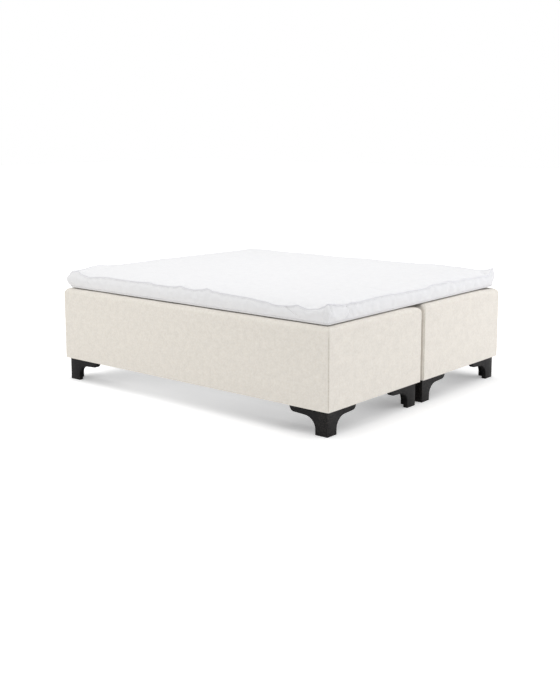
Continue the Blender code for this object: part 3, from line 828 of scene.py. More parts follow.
@dataclass(frozen=True)
class Fibreboard(Finish):
    """Pressed board: matted chips of several browns."""

    pale: tuple = tint(186, 150, 106)
    dark: tuple = tint(132, 98, 62)

    def surface(self, w: Wiring, place: Socket) -> tuple[Socket, Socket, Socket]:
        """Chips of mixed browns under pale fibres; see Finish."""
        chip = w.add("SeparateColor", {0: w.cells(place, 90.0, "Color")}).outputs[0]
        fibre = EFFECTS.use(w, "fibre", place, Scale=700.0)
        base = w.colours(chip, self.pale, self.dark)
        return (
            w.colours(w.times(fibre["Height"], 0.4), base, self.pale),
            self.rough(w, chip, 0.0, 1.0, 0.1),
            w.bump(fibre["Height"], 0.5, 0.0004),
        )


@dataclass(frozen=True)
class OpenFoam(Finish):
    """Cut polyurethane foam: fine open cells."""

    colour: tuple = tint(238, 228, 186)
    cell: tuple = tint(214, 198, 148)

    def surface(self, w: Wiring, place: Socket) -> tuple[Socket, Socket, Socket]:
        """Sunk cells in an uneven yellowing; see Finish."""
        pores = w.spread(w.cells(place, 620.0, "Distance"), 0.1, 0.6, 1.0, 0.0)
        fibre = EFFECTS.use(w, "fibre", place, Scale=300.0)
        base = w.colours(w.times(pores, 0.6), self.colour, self.cell)
        return (
            w.colours(w.times(fibre["Shade"], 0.2), base, self.cell),
            self.rough(w, pores, 0.0, 1.0, 0.05),
            w.bump(pores, 0.6, -0.0008),
        )


@dataclass(frozen=True)
class MattedCloth(Finish):
    """Felt or spun cloth: loose fibres, with small bonded dots where it is spun."""

    colour: tuple = tint(150, 150, 152)
    thread: tuple = tint(110, 111, 116)
    dots: float = 0.0

    def surface(self, w: Wiring, place: Socket) -> tuple[Socket, Socket, Socket]:
        """Fibres of two shades with even smooth dots; see Finish."""
        fibre = EFFECTS.use(w, "fibre", place, Scale=520.0)
        base = w.colours(fibre["Height"], self.colour, self.thread)
        bond = w.cells(place, 260.0, "Distance", randomness=0.0)
        spots = w.times(w.spread(bond, 0.2, 0.4, 1.0, 0.0), self.dots)
        matted = w.bump(fibre["Height"], 0.6, 0.0006)
        return (
            w.colours(spots, base, self.thread),
            self.rough(w, spots, 0.0, 1.0, 0.0, -0.2),
            w.bump(spots, 0.5, -0.0003, matted),
        )


@dataclass(frozen=True)
class PlatedSteel(Finish):
    """Zinc-plated steel: dull spangle, brushed a little, duller at its edges."""

    colour: tuple = tint(196, 198, 200)
    dull: tuple = tint(150, 150, 148)

    def surface(self, w: Wiring, place: Socket) -> tuple[Socket, Socket, Socket]:
        """Spangle in patches with worn edges and brushed streaks; see Finish."""
        patch = w.add("SeparateColor", {0: w.cells(place, 210.0, "Color")}).outputs[0]
        wear = EFFECTS.use(w, "wear", place, Amount=0.6)
        base = w.colours(w.times(patch, 0.5), self.colour, self.dull)
        streaks = w.add("Mapping", {"Vector": place, "Scale": (1.0, 30.0, 30.0)}).outputs[0]
        return (
            w.colours(wear["Mask"], base, self.dull),
            self.rough(w, patch, 0.0, 1.0, 0.06, 0.08),
            w.bump(w.noise(streaks, 60.0, 3.0), 0.15, 0.0001),
        )


@dataclass(frozen=True)
class MouldedNylon(Finish):
    """White nylon of the zip and the sewing thread, slightly waxy."""

    colour: tuple = tint(243, 243, 244)
    grime: tuple = tint(226, 225, 222)

    def surface(self, w: Wiring, place: Socket) -> tuple[Socket, Socket, Socket]:
        """Nylon with a breath of grime; see Finish."""
        fibre = EFFECTS.use(w, "fibre", place, Scale=1900.0)
        return (
            w.colours(w.times(fibre["Shade"], 0.3), self.colour, self.grime),
            self.rough(w, fibre["Height"], 0.3, 0.7, 0.08, 0.08),
            w.bump(fibre["Height"], 0.2, 0.0002),
        )


class Look(Enum):
    """Every finish of the bed."""

    BASE_FABRIC = WovenFabric("cream woven fabric", 0.95, sheen=0.08, specular=0.2)
    TOPPER_FABRIC = KnitFabric("white knit", 0.9, sheen=0.05, specular=0.25)
    # Dark grey knit for the lowest strip of the topper's lower cover: painted contact shadow where the topper
    # meets the base.
    CONTACT_SHADOW_KNIT = KnitFabric(
        "grey knit of painted contact shadow", 0.95, specular=0.15, colour=tint(104, 104, 107), hollow_shade=tint(88, 88, 91)
    )
    PIPING = KnitFabric(
        "white piping", 0.85, sheen=0.05, specular=0.25, colour=tint(236, 236, 239), blister=0.0
    )
    LACQUER = SatinLacquer("black satin lacquer", 0.34, specular=0.15)
    RAIL_LENGTHWISE = Wood("timber along the bed", 0.7, turn=math.pi / 2)
    RAIL_ACROSS = Wood("timber across the bed", 0.7)
    BOARD = Fibreboard("pressed board", 0.85, specular=0.3)
    FOAM = OpenFoam("open foam", 0.95, specular=0.2)
    CORE_FOAM = OpenFoam(
        "white foam", 0.95, specular=0.2, colour=tint(240, 239, 232), cell=tint(216, 214, 204)
    )
    FELT = MattedCloth("grey felt", 1.0, specular=0.2)
    POCKETS = MattedCloth(
        "spring pocket cloth", 0.9, specular=0.25,
        colour=tint(226, 228, 232), thread=tint(190, 194, 202), dots=0.7,
    )
    DUST_CLOTH = MattedCloth(
        "black spun cloth", 0.95, specular=0.2,
        colour=tint(46, 46, 48), thread=tint(26, 26, 28), dots=0.6,
    )
    STEEL = PlatedSteel("plated steel", 0.36, metallic=1.0)
    ZIP = MouldedNylon("white zip", 0.45)
    THREAD = MouldedNylon("cream thread", 0.7, colour=tint(180, 168, 150), grime=tint(156, 144, 126))
    # Grey thread on the border seams: painted shade of the needle holes and the pleat along each seam.
    SEAM_THREAD_PAINTED_SHADE = MouldedNylon(
        "seam thread greyed for painted shade", 0.75, colour=tint(160, 158, 158), grime=tint(128, 126, 126)
    )
    ZIP_TAPE = MattedCloth(
        "zip tape", 0.9, specular=0.2, colour=tint(240, 240, 242), thread=tint(226, 226, 229)
    )
    WHITE_THREAD = MouldedNylon("white thread", 0.7, colour=tint(205, 204, 206), grime=tint(178, 176, 178))


def dress(obj: Object, look: Look, body: str, slot: str, *nodes: str) -> Object:
    """Gives a finished piece its finish and its body, and hides the CAD nodes it stands for.

    Args:
        obj: The piece.
        look: Its finish.
        body: The CAD body it rides on.
        slot: Not used.
        *nodes: The CAD nodes that it replaces.

    Returns:
        The piece.
    """
    obj.data.materials.clear()
    obj.data.materials.append(look.value.make())
    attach(obj, body)
    if nodes:
        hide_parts(*nodes)
    LOG.info("%s: %d faces on %s", obj.name, len(obj.data.polygons), body)
    return obj


def graded(half: float, insets: Sequence[float], pitch: float) -> Array:
    """Places along a panel: close together near both ends and even between them.

    Args:
        half: Half the panel's length.
        insets: Distances from an end, growing, of the close places.
        pitch: About how far apart the even places are.

    Returns:
        The places from -half to half.
    """
    inner = half - insets[-1]
    count = max(2, round(2 * inner / pitch))
    ends = half - np.array(insets[:-1])
    return np.concatenate([-ends, np.linspace(-inner, inner, count + 1), ends[::-1]])


def sheet_with_walls(
    name: str, half: tuple[float, float], insets: Sequence[float], pitch: float, rows: int
) -> tuple[Object, Array, Array, Array]:
    """A grid whose rim is pulled down in rows, and where each of its vertices belongs.

    Args:
        name: The object's name.
        half: Half its width and half its length.
        insets: Distances from its edge of the lines that lie close.
        pitch: How far apart the other lines are.
        rows: How many rows the rim is pulled down.

    Returns:
        The object, and the X place, the Y place and the row of each vertex.
    """
    across, along = graded(half[0], insets, pitch), graded(half[1], insets, pitch)
    panel = primitive(
        "grid", name, x_subdivisions=len(across) - 1, y_subdivisions=len(along) - 1, size=1
    )
    with editing(panel):
        bpy.ops.mesh.region_to_loop()
        for _ in range(rows):
            pull_rim(-1)
    places = points_of(panel)
    columns = np.rint((places[:, 0] + 0.5) * (len(across) - 1)).astype(int)
    lines = np.rint((places[:, 1] + 0.5) * (len(along) - 1)).astype(int)
    return panel, across[columns], along[lines], np.rint(-places[:, 2]).astype(int)


def rounded_corner(x: Array, y: Array, half_x: Array, half_y: Array, radius: float) -> tuple[Array, Array]:
    """Moves points of square rings on to rings with round corners.

    Args:
        x: Places along X.
        y: Places along Y.
        half_x: Half the width of each point's ring.
        half_y: Half the length of each point's ring.
        radius: The corners' radius.

    Returns:
        The new X and Y places.
    """
    from_x = half_x - np.abs(x)
    from_y = half_y - np.abs(y)
    away = np.maximum(from_x, from_y)
    near = (np.minimum(from_x, from_y) < TINY) & (away < radius)
    side = np.where(from_x <= from_y, 1.0, -1.0)
    angle = math.pi / 4 * (1 - side * np.clip(away / radius, 0, 1))
    new_x = np.sign(x) * (half_x - radius + radius * np.cos(angle))
    new_y = np.sign(y) * (half_y - radius + radius * np.sin(angle))
    return np.where(near, new_x, x), np.where(near, new_y, y)


@dataclass
class UnitWork:
    """What is made for one base unit."""

    side: Side

    def __post_init__(self) -> None:
        """Takes the unit's place from its CAD cover."""
        self.box = Box.of(self.name("cover"))

    def name(self, rest: str) -> str:
        """The unit's own name of a node, a piece or a body."""
        return f"{self.side.value}_{rest}"

    def dress(self, obj: Object, look: Look, slot: str, *nodes: str) -> Object:
        """Dresses a piece that rides on this unit; the nodes are named without its side."""
        return dress(obj, look, self.name("base"), slot, *(self.name(node) for node in nodes))

    def row(self, model: Object, frames: Sequence, name: str, look: Look, slot: str, angle: float) -> Object:
        """A row of copies of a small model as one dressed piece.

        Args:
            model: The small piece.
            frames: Where the copies go.
            name: The row's name without its side.
            look: Its finish.
            slot: Its material slot.
            angle: Up to which angle in degrees it is shaded smooth; 0 leaves it flat.

        Returns:
            The row.
        """
        made = copies(model, frames, self.name(name))
        if angle:
            smooth(made, angle)
        return self.dress(made, look, slot)

    def shoulder(self, places: Array) -> Array:
        """Lets the soft top sink: the left unit's towards the gap, the right one's at its outer foot corner.

        Args:
            places: Points of a soft layer.

        Returns:
            The moved points.
        """
        low, high = self.box.low, self.box.high
        share = np.clip((places[:, 2] - low.z) / (high.z - low.z), 0, 1)
        moved = places.copy()
        if self.side is Side.LEFT:
            moved[:, 2] -= 0.009 * (1 - eased(high.x - places[:, 0], 0.0, 0.14)) * share ** 2
        else:
            from_corner = np.hypot(high.x - places[:, 0], places[:, 1] - low.y)
            moved[:, 2] -= 0.010 * hill(from_corner, 0.0, 0.15) * share ** 6
        return moved


@dataclass
class BaseUnitCover(UnitWork):
    """The fabric cover of one base unit: soft top edge, sewn corners, and a stapled hem underneath."""

    edge_radius: float = 0.030
    corner_radius: float = 0.010
    edge_steps: int = 7
    pitch: float = 0.0155
    wall_pitch: float = 0.0155 * 1.05
    fold: float = 0.0015
    hem_middle: float = 0.012
    hem: float = 0.035
    skin: float = 0.002
    seam_depth: float = 0.0026
    seam_width: float = 0.0035
    stitch_pitch: float = 0.0075
    stitch_radius: float = 0.00065
    deepest_under_topper: float = 0.0011

    def profile(self) -> tuple[Array, Array]:
        """Insets and depths of the rows that round the top edge, from the wall in."""
        turns = np.linspace(math.pi / 2, 0, self.edge_steps + 1)
        return self.edge_radius * (1 - np.sin(turns)), self.edge_radius * (1 - np.cos(turns))

    def build(self) -> Object:
        """Builds the cover with its hem and sewn corners.

        Returns:
            The cover.
        """
        half_x, half_y = self.box.half
        top, bottom, centre = self.box.high.z, self.box.low.z, self.box.centre
        insets, depths = self.profile()
        wall = top - self.edge_radius - bottom
        wall_rows = round(wall / self.wall_pitch)
        cover, x, y, rows = sheet_with_walls(
            self.name("base_cover"), self.box.half, insets, self.pitch, wall_rows + 3
        )
        inset = np.minimum(half_x - np.abs(x), half_y - np.abs(y))
        shares = np.linspace(0, 1, wall_rows + 1)
        down = top - self.edge_radius - (wall - self.fold) * shares[np.clip(rows, 0, wall_rows)]
        z = np.where(rows == 0, top - np.interp(inset, insets, depths), down)
        under = rows > wall_rows
        z = np.where(under, bottom, z)
        turned = np.array([0.0, self.fold, self.hem_middle, self.hem])[np.clip(rows - wall_rows, 0, 3)]
        ring = np.where(rows == 0, np.minimum(inset, self.edge_radius), turned)
        x = np.where(under, x * (half_x - turned) / half_x, x)
        y = np.where(under, y * (half_y - turned) / half_y, y)
        x, y = rounded_corner(x, y, half_x - ring, half_y - ring, self.corner_radius)
        set_points(cover, np.stack([x + centre.x, y + centre.y, z], axis=1))
        subdivide(cover)
        self.soften(cover)
        self.line(cover)
        set_points(cover, self.shoulder(points_of(cover)))
        smooth(cover, 50)
        metric_map(cover)
        self.dress(cover, Look.BASE_FABRIC, "base_fabric", "cover")
        return cover

    def soften(self, cover: Object) -> None:
        """Moves the cover as cloth over foam sits: sewn corners drawn in, puckers, and a soft swell.

        Args:
            cover: The cover.
        """
        low, high = self.box.low, self.box.high
        left = self.side is Side.LEFT
        places = points_of(cover)
        from_x = np.minimum(places[:, 0] - low.x, high.x - places[:, 0])
        from_y = np.minimum(places[:, 1] - low.y, high.y - places[:, 1])
        from_top = high.z - places[:, 2]
        from_bottom = places[:, 2] - low.z
        outer = np.minimum(from_x, from_y)
        inner = np.maximum(from_x, from_y)
        away = np.abs(from_x - from_y)
        at_corner = (inner < 0.075) & (outer < 0.060)
        fade_up = 1 - eased(outer, 0.030, 0.048)
        groove = hill(away, 0.0, self.seam_width) * fade_up * at_corner
        beside = hill(away, 0.011, 0.010) * fade_up * at_corner
        pucker = wavy(places[:, 2], 0.021, 2.5 * ripple(places, 0.09, 5))
        swell = ripple(places, 0.42, 11 if left else 12) * 0.0011 * eased(from_bottom, 0.0, 0.10)
        swell *= 1 - 0.8 * hill(inner, 0.0, 0.09)
        fine = ripple(places, 0.060, 21 if left else 22) * 0.00035
        calm = eased(from_bottom, 0.0, 0.02)
        on_wall = outer < 0.002
        near_hem = hill(from_bottom, 0.0, 0.016) * on_wall
        staples = np.cos((places[:, 0] + places[:, 1]) * TURN / 0.043) * near_hem
        move = -self.seam_depth * groove * calm + beside * (0.0005 + 0.00045 * pucker) * calm
        move += (swell + fine) * calm * (1 - groove) - 0.0009 * hill(from_top, 0.0, 0.006) * (outer > 0.06)
        move -= 0.00030 * (1 + staples) * near_hem * (from_bottom > 0.002)
        under_topper = (outer > 0.028) & (from_top < 0.002)
        move = np.where(under_topper, np.clip(move, -self.deepest_under_topper, 0), move)
        shown = from_bottom > 0.0005
        set_points(cover, places + normals_of(cover) * (move * shown)[:, None])

    def line(self, cover: Object) -> None:
        """Closes the cover inside with a skin behind its walls and top.

        Args:
            cover: The cover.
        """
        half_x, half_y = self.box.half
        tall = self.box.high.z - self.box.low.z
        steps = (
            (self.skin, self.hem, 0.0),
            (self.skin, self.skin, tall - self.edge_radius),
            (self.edge_radius, self.skin, self.edge_radius - 2 * self.skin),
        )
        with editing(cover):
            select_rim()
            pull_rim(self.skin)
            for inset, before, rise in steps:
                pull_rim(rise)
                ratio = ((half_x - inset) / (half_x - before), (half_y - inset) / (half_y - before), 1)
                bpy.ops.transform.resize(value=ratio, center_override=self.box.centre)
            close_rim()

    def stitches(self) -> Object:
        """The thread that shows down the four corner seams.

        Returns:
            The stitches, as one piece.
        """
        low, high = self.box.low, self.box.high
        stitch = thread_stitch(self.stitch_pitch * 0.62, self.stitch_radius)
        count = int((high.z - low.z - 0.05) / self.stitch_pitch)
        back = self.corner_radius * (1 - math.sqrt(0.5)) + 0.0007
        frames = []
        for x in (low.x + back, high.x - back):
            for y in (low.y + back, high.y - back):
                for step in range(count):
                    place = Vector((x, y, low.z + self.hem_middle + step * self.stitch_pitch))
                    frames.append((place, UP, *UPRIGHT[:2]))
        return self.row(stitch, frames, "corner_stitches", Look.THREAD, "base_fabric", 80)


@dataclass
class BracketLeg:
    """A black bracket leg: two mitred panels with an ogee underside, and a gusset that takes the bolt."""

    height: float = 0.138
    foot: float = 0.080
    depth: float = 0.028
    wing: float = 0.255
    wing_depth: float = 0.040
    ankle: float = 0.030
    arch: float = 0.075
    tip: float = 0.030
    tip_depth: float = 0.036
    tip_end: float = 0.0018
    arch_steps: int = 22
    tip_steps: int = 9
    edge: float = 0.0013
    gusset_arm: float = 0.095
    gusset_slant: float = 0.052
    gusset_depth: float = 0.021
    gusset_edge: float = 0.0012

    def underside(self) -> list[tuple[float, float]]:
        """(Along, up) points of the panel's carved underside, from the ankle to the tip.

        Returns:
            The points.
        """
        rise = self.height - self.wing_depth - self.ankle
        points = []
        for step in range(1, self.arch_steps + 1):
            turn = math.pi / 2 * step / self.arch_steps
            along = self.foot + self.arch * (1 - math.cos(turn))
            points.append((along, self.ankle + rise * math.sin(turn)))
        for step in range(self.tip_steps):
            turn = math.pi / 2 * step / self.tip_steps
            along = self.wing - self.tip * (1 - math.sin(turn))
            points.append((along, self.height - self.tip_depth * math.cos(turn)))
        points.append((self.wing, self.height - self.tip_end))
        return points

    def is_end(self, face: bmesh.types.BMFace, along: float) -> bool:
        """Whether a face is the panel's end at this place, above the ankle."""
        middle = face.calc_center_median()
        return abs(middle.x - along) < 1e-5 and middle.z > self.ankle and abs(face.normal.x) > 0.9

    def panel(self) -> Object:
        """One panel along +X with its outer face at Y = 0 and its mitred end at the corner.

        Returns:
            The panel.
        """
        plate = cube("leg_panel", (0, 0, 0), (self.foot, self.depth, self.height))
        with editing(plate):
            cut((0, 0, self.ankle), (0, 0, 1))
            before = self.foot
            for along, up in self.underside():
                select_faces(plate, lambda face: self.is_end(face, before))
                bpy.ops.mesh.extrude_region_move(TRANSFORM_OT_translate={"value": (along - before, 0, 0)})
                for vertex in bmesh.from_edit_mesh(plate.data).verts:
                    if vertex.select and vertex.co.z < self.height - TINY:
                        vertex.co.z = up
                bmesh.update_edit_mesh(plate.data)
                before = along
            mesh = bmesh.from_edit_mesh(plate.data)
            for vertex in mesh.verts:
                if abs(vertex.co.x) < TINY and vertex.co.y > self.depth / 2:
                    vertex.co.x = self.depth
            mitre = [face for face in mesh.faces if all(abs(v.co.x - v.co.y) < TINY for v in face.verts)]
            bmesh.ops.delete(mesh, geom=mitre, context="FACES_ONLY")
            bmesh.update_edit_mesh(plate.data)
        return plate

    def build(self) -> Object:
        """The leg about its outer corner, its panels along +X and +Y.

        Returns:
            The leg, to be copied.
        """
        first, second = self.panel(), self.panel()
        set_points(second, points_of(second)[:, [1, 0, 2]])
        turn_over(second)
        leg = join([first, second], "bracket_leg")
        with editing(leg):
            bpy.ops.mesh.remove_doubles(threshold=0.00001)
            bpy.ops.mesh.normals_make_consistent(inside=False)
        bevel(leg, self.edge, 3, 28)
        leg = join([leg, self.gusset()], "bracket_leg")
        smooth(leg, 32)
        return leg

    def gusset(self) -> Object:
        """The five-sided block that is glued between the panels.

        Returns:
            The gusset.
        """
        start = self.depth - 0.004
        reach = self.depth + self.gusset_arm
        low = self.height - self.gusset_depth
        block = cube("gusset", (start, start, low), (reach, reach, self.height - MILLIMETRE))
        with editing(block):
            corner = (reach, self.depth + self.gusset_slant, low)
            cut(corner, (1, 1, 0), clear_outer=True, use_fill=True)
        bevel(block, self.gusset_edge, 2)
        return block


@dataclass
class Legs:
    """The eight bracket legs, where the CAD puts them."""

    model: BracketLeg

    def build(self) -> None:
        """Copies the leg into each corner of both units."""
        master = self.model.build()
        for side in Side:
            unit = UnitWork(side)
            for corner in CORNERS:
                self.put(unit, corner, master)
        bpy.data.objects.remove(master)

    def put(self, unit: UnitWork, corner: str, master: Object) -> Object:
        """Copies the leg into one corner.

        Args:
            unit: The base unit.
            corner: Which corner, as its node is named.
            master: The leg to copy.

        Returns:
            The new leg.
        """
        node = f"leg_{corner}"
        low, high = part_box(unit.name(node))
        middle = unit.box.low + unit.box.high
        toward_x = 1 if (low.x + high.x) < middle.x else -1
        toward_y = 1 if (low.y + high.y) < middle.y else -1
        outer = (low.x if toward_x > 0 else high.x, low.y if toward_y > 0 else high.y, low.z)
        leg = shown_as(unit.name(f"bracket_{node}"), master.data.copy())
        set_points(leg, points_of(master) * np.array([toward_x, toward_y, 1.0]) + np.array(outer))
        if toward_x * toward_y < 0:
            leg.data.flip_normals()
        return unit.dress(leg, Look.LACQUER, "leg_lacquer", node)


class Surface:
    """A finished cover's surface, on which seams and stitches are laid."""

    def __init__(self, cover: Object) -> None:
        """Reads the cover's faces."""
        corners = [tuple(vertex.co) for vertex in cover.data.vertices]
        self.tree = BVHTree.FromPolygons(corners, [tuple(face.vertices) for face in cover.data.polygons])

    def meet(self, start: Vector, ahead: Vector) -> tuple[Vector, Vector]:
        """Where a straight line first meets the cover.

        Args:
            start: A point outside the cover.
            ahead: The line's direction.

        Returns:
            The place and the outward normal there.
        """
        place, normal, _, _ = self.tree.ray_cast(start, ahead)
        if place is None:
            place, normal, _, _ = self.tree.find_nearest(start)
        return place, normal if normal.dot(ahead) < 0 else -normal


class Edge(Enum):
    """The four sides of the topper, each by the direction in from it."""

    LEFT = (1, 0, 0)
    FOOT = (0, 1, 0)
    RIGHT = (-1, 0, 0)
    HEAD = (0, -1, 0)

    @property
    def lengthwise(self) -> bool:
        """Whether it runs along the bed."""
        return self.value[0] != 0


@dataclass
class Topper:
    """The white topper: crowned top, piped wavy edge, bulging border, zip and lower cover."""

    edge_height: float = 0.0960
    crown: float = 0.018
    wave_height: float = 0.022
    bulge: float = 0.010
    corner_radius: float = 0.014
    border_rows: int = 9
    pitch: float = 0.0165
    piping: float = 0.0040
    seam_width: float = 0.0075
    fold_width: float = 0.0048
    frames: int = 20
    cap: float = 0.004
    contact_shadow_height: float = 0.0050
    foam_gap: float = 0.007
    turned_up: float = 0.008
    tooth_pitch: float = 0.0038

    cloth = {
        "quality": 5, "mass": 0.25, "tension_stiffness": 18, "compression_stiffness": 18,
        "shear_stiffness": 6, "bending_stiffness": 0.12, "pin_stiffness": 1, "shrink_min": -0.035,
        "use_pressure": True, "uniform_pressure_force": 2.0, "vertex_group_mass": "held",
    }
    seams = (
        (Edge.LEFT, 0.0022, ((-0.735, 1.0), (-0.762, 0.72), (-0.800, 0.42), (-0.842, 0.16))),
        (Edge.FOOT, 0.0032, ((-0.712, 1.0), (-0.715, 0.68), (-0.684, 0.48), (-0.701, 0.25), (-0.719, 0.05))),
        (Edge.FOOT, 0.0018, ((0.620, 1.0), (0.620, 0.0))),
        (Edge.LEFT, 0.0022, ((0.838, 1.0), (0.842, 0.5), (0.836, 0.0))),
        (Edge.RIGHT, 0.0018, ((0.31, 1.0), (0.31, 0.0))),
        (Edge.HEAD, 0.0018, ((-0.42, 1.0), (-0.42, 0.0))),
    )
    folds = (
        (Edge.FOOT, 0.0050, ((-0.861, 0.92), (-0.856, 0.66), (-0.846, 0.44))),
        (Edge.FOOT, 0.0030, ((-0.858, 0.40), (-0.859, 0.00))),
        (Edge.FOOT, 0.0052, ((-0.838, 0.93), (-0.812, 0.93))),
        (Edge.FOOT, 0.0052, ((-0.692, 0.93), (-0.668, 0.93))),
        (Edge.FOOT, 0.0046, ((-0.650, 0.93), (-0.634, 0.93))),
        (Edge.LEFT, 0.0036, ((-1.012, 0.80), (-0.995, 0.45), (-1.004, 0.10))),
    )
    waves = {
        Edge.LEFT: (
            (-1.00, 0.95), (-0.976, 0.28), (-0.936, -0.45), (-0.870, -0.84), (-0.832, -0.42),
            (-0.800, -0.10), (-0.775, -0.50), (-0.735, -0.70), (-0.665, -0.90), (-0.580, -0.38),
            (-0.450, 0.00), (-0.305, 0.15), (-0.222, 0.35), (-0.170, 0.88), (-0.128, 0.40),
            (-0.070, 0.10), (-0.012, 0.22), (0.034, 0.62), (0.076, 0.20), (0.140, 0.08), (0.230, 0.06),
            (0.285, 0.36), (0.392, 0.14), (0.515, 0.10), (0.640, 0.20), (0.700, 0.06), (0.757, -0.20),
            (0.800, -0.44), (0.838, -0.28), (0.872, 0.00), (0.889, 0.26), (0.910, 0.88), (0.935, 0.76),
            (0.958, 0.46), (1.00, -0.20),
        ),
        Edge.FOOT: (
            (-1.00, 0.95), (-0.955, 0.80), (-0.912, 0.44), (-0.855, 0.12), (-0.803, 0.06), (-0.784, 0.32),
            (-0.766, 0.18), (-0.732, 0.08), (-0.672, -0.05), (-0.620, 0.08), (-0.560, 0.15),
            (-0.460, 0.22), (-0.345, 0.16), (-0.295, -0.06), (-0.145, -0.11), (-0.040, -0.20),
            (0.055, -0.29), (0.160, 0.18), (0.258, 0.13), (0.345, 0.22), (0.460, -0.24), (0.565, -0.14),
            (0.690, -0.42), (0.800, -0.47), (0.900, -0.70), (1.00, 1.00),
        ),
        Edge.RIGHT: (
            (-1.00, 1.00), (-0.95, 0.40), (-0.90, 0.10), (-0.74, 0.35), (-0.60, 0.50), (-0.42, 0.18),
            (-0.20, 0.10), (-0.05, 0.16), (0.20, -0.10), (0.38, -0.06), (0.60, -0.40), (0.80, -0.22),
            (1.00, -0.20),
        ),
        Edge.HEAD: (
            (-1.00, -0.20), (-0.965, 0.40), (-0.93, 0.36), (-0.874, 0.46), (-0.828, 0.66), (-0.782, 1.00),
            (-0.736, 1.04), (-0.69, 0.89), (-0.644, 0.68), (-0.598, 0.53), (-0.552, 0.46), (-0.50, 0.32),
            (-0.30, 0.26), (-0.10, 0.30), (0.12, 0.12), (0.40, 0.00), (0.58, -0.12), (0.75, -0.40),
            (1.00, -0.20),
        ),
    }
    top_insets = (0.0, 0.005, 0.010, 0.015, 0.020, 0.027, 0.036, 0.048, 0.062)
    crown_insets = (0, 0.022, 0.065, 0.150, 0.320, 0.620)
    crown_shares = (0, 0.1, 0.5, 0.8, 0.95, 1.0)
    wave_shares = (1, 0.7, 0.4, 0.2, 0.0, 0.0)
    foam_insets = (0.0, 0.012, 0.030, 0.062)
    panel_insets = (0.0, 0.005, 0.010, 0.016, 0.030)
    wedge = (
        (0.054, 0.0), (0.042, 0.0004), (0.030, 0.0012), (0.019, 0.0024),
        (0.010, 0.0038), (0.0040, 0.0054), (0.0010, 0.0078), (0.0, 0.0120),
    )

    def place(self) -> None:
        """Takes the topper's place from the CAD's lower cover and zip."""
        low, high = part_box("topper_cover_base")
        self.half_x, self.half_y = high.x, high.y
        self.bottom = low.z
        zip_low, zip_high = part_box("topper_zip_chain")
        self.zip_low, self.zip_high = zip_low.z, zip_high.z
        self.border_low = zip_high.z + 0.0003
        self.edge = low.z + self.edge_height

    def half_to(self, edge: Edge) -> float:
        """How far an edge is from the topper's middle."""
        return self.half_x if edge.lengthwise else self.half_y

    def half_along(self, edge: Edge) -> float:
        """Half an edge's length."""
        return self.half_y if edge.lengthwise else self.half_x

    def wave_along(self, edge: Edge, place: Array) -> Array:
        """The edge's height above its mean, by cosine steps in its table.

        Args:
            edge: Which side.
            place: From -1 to 1 along it.

        Returns:
            Heights in metres.
        """
        table = np.array(self.waves[edge])
        index = np.clip(np.searchsorted(table[:, 0], place, side="right") - 1, 0, len(table) - 2)
        start, end = table[index], table[index + 1]
        share = np.clip((place - start[:, 0]) / (end[:, 0] - start[:, 0]), 0, 1)
        share = (1 - np.cos(math.pi * share)) / 2
        return self.wave_height * (start[:, 1] + (end[:, 1] - start[:, 1]) * share)

    def wave(self, x: Array, y: Array) -> Array:
        """The edge's wave carried in over the topper.

        Args:
            x: Places along X.
            y: Places along Y.

        Returns:
            Heights in metres, as the nearest edge has them.
        """
        total = np.zeros(len(x))
        weight = np.zeros(len(x))
        for edge in (Edge.LEFT, Edge.RIGHT, Edge.FOOT, Edge.HEAD):
            distance = self.half_to(edge) + (x * edge.value[0] + y * edge.value[1])
            share = 1 / (np.maximum(distance, 0) + 0.003) ** 3
            total += share * self.wave_along(edge, (y if edge.lengthwise else x) / self.half_along(edge))
            weight += share
        return total / weight

    def top_height(self, x: Array, y: Array) -> Array:
        """The height of the topper's top face.

        Args:
            x: Places along X.
            y: Places along Y.

        Returns:
            Heights in metres.
        """
        from_x, from_y = self.half_x - np.abs(x), self.half_y - np.abs(y)
        inset = np.minimum(from_x, from_y)
        crown = np.interp(inset, self.crown_insets, self.crown_shares)
        share = np.interp(inset, self.crown_insets, self.wave_shares)
        valley = hill(inset, 0.018, 0.014) * 0.0045
        valley *= 1 - 0.6 * hill(np.hypot(from_x, from_y), 0.0, 0.05)
        return self.edge + self.crown * crown + self.wave(x, y) * share - valley

    def build(self) -> None:
        """Builds every piece of the topper."""
        self.place()
        cover = self.upper_cover()
        self.piped_edge(cover)
        self.surface = Surface(cover)
        self.border_seams()
        self.foam()
        self.lower_cover()
        self.zip()
        self.slider()

    def upper_cover(self) -> Object:
        """The upper cover with its border, simulated as loose cloth over the foam.

        Returns:
            The cover.
        """
        half_x, half_y = self.half_x, self.half_y
        cover, x, y, rows = sheet_with_walls(
            "topper_upper_cover", (half_x, half_y), self.top_insets, self.pitch, self.border_rows
        )
        inset = np.minimum(half_x - np.abs(x), half_y - np.abs(y))
        share = 1 - rows / self.border_rows
        out = self.bulge_out(x, y, rows, share)
        plan_x, plan_y = rounded_corner(x, y, half_x - inset, half_y - inset, self.corner_radius)
        scale_x, scale_y = (half_x + out) / half_x, (half_y + out) / half_y
        border = self.border_low + (self.edge + self.wave(x, y) - self.border_low) * share
        z = np.where(rows == 0, self.top_height(x, y), border)
        set_points(cover, np.stack([plan_x * scale_x, plan_y * scale_y, z], axis=1))
        on_edge = (rows == 0) & (inset < TINY)
        crease = cover.data.attributes.new("crease_edge", "FLOAT", "EDGE")
        both = on_edge[read(cover.data.edges, "vertices", 2, np.int32)].all(axis=1)
        crease.data.foreach_set("value", both.astype(np.float32))
        held = np.maximum(eased(inset, 0.16, 0.34) * (rows == 0), on_edge | (rows == self.border_rows))
        self.loosen(cover, held)
        subdivide(cover)
        self.pucker(cover)
        smooth(cover, 55)
        metric_map(cover)
        dress(cover, Look.TOPPER_FABRIC, "topper", "topper_fabric", "topper_cover_top")
        return cover

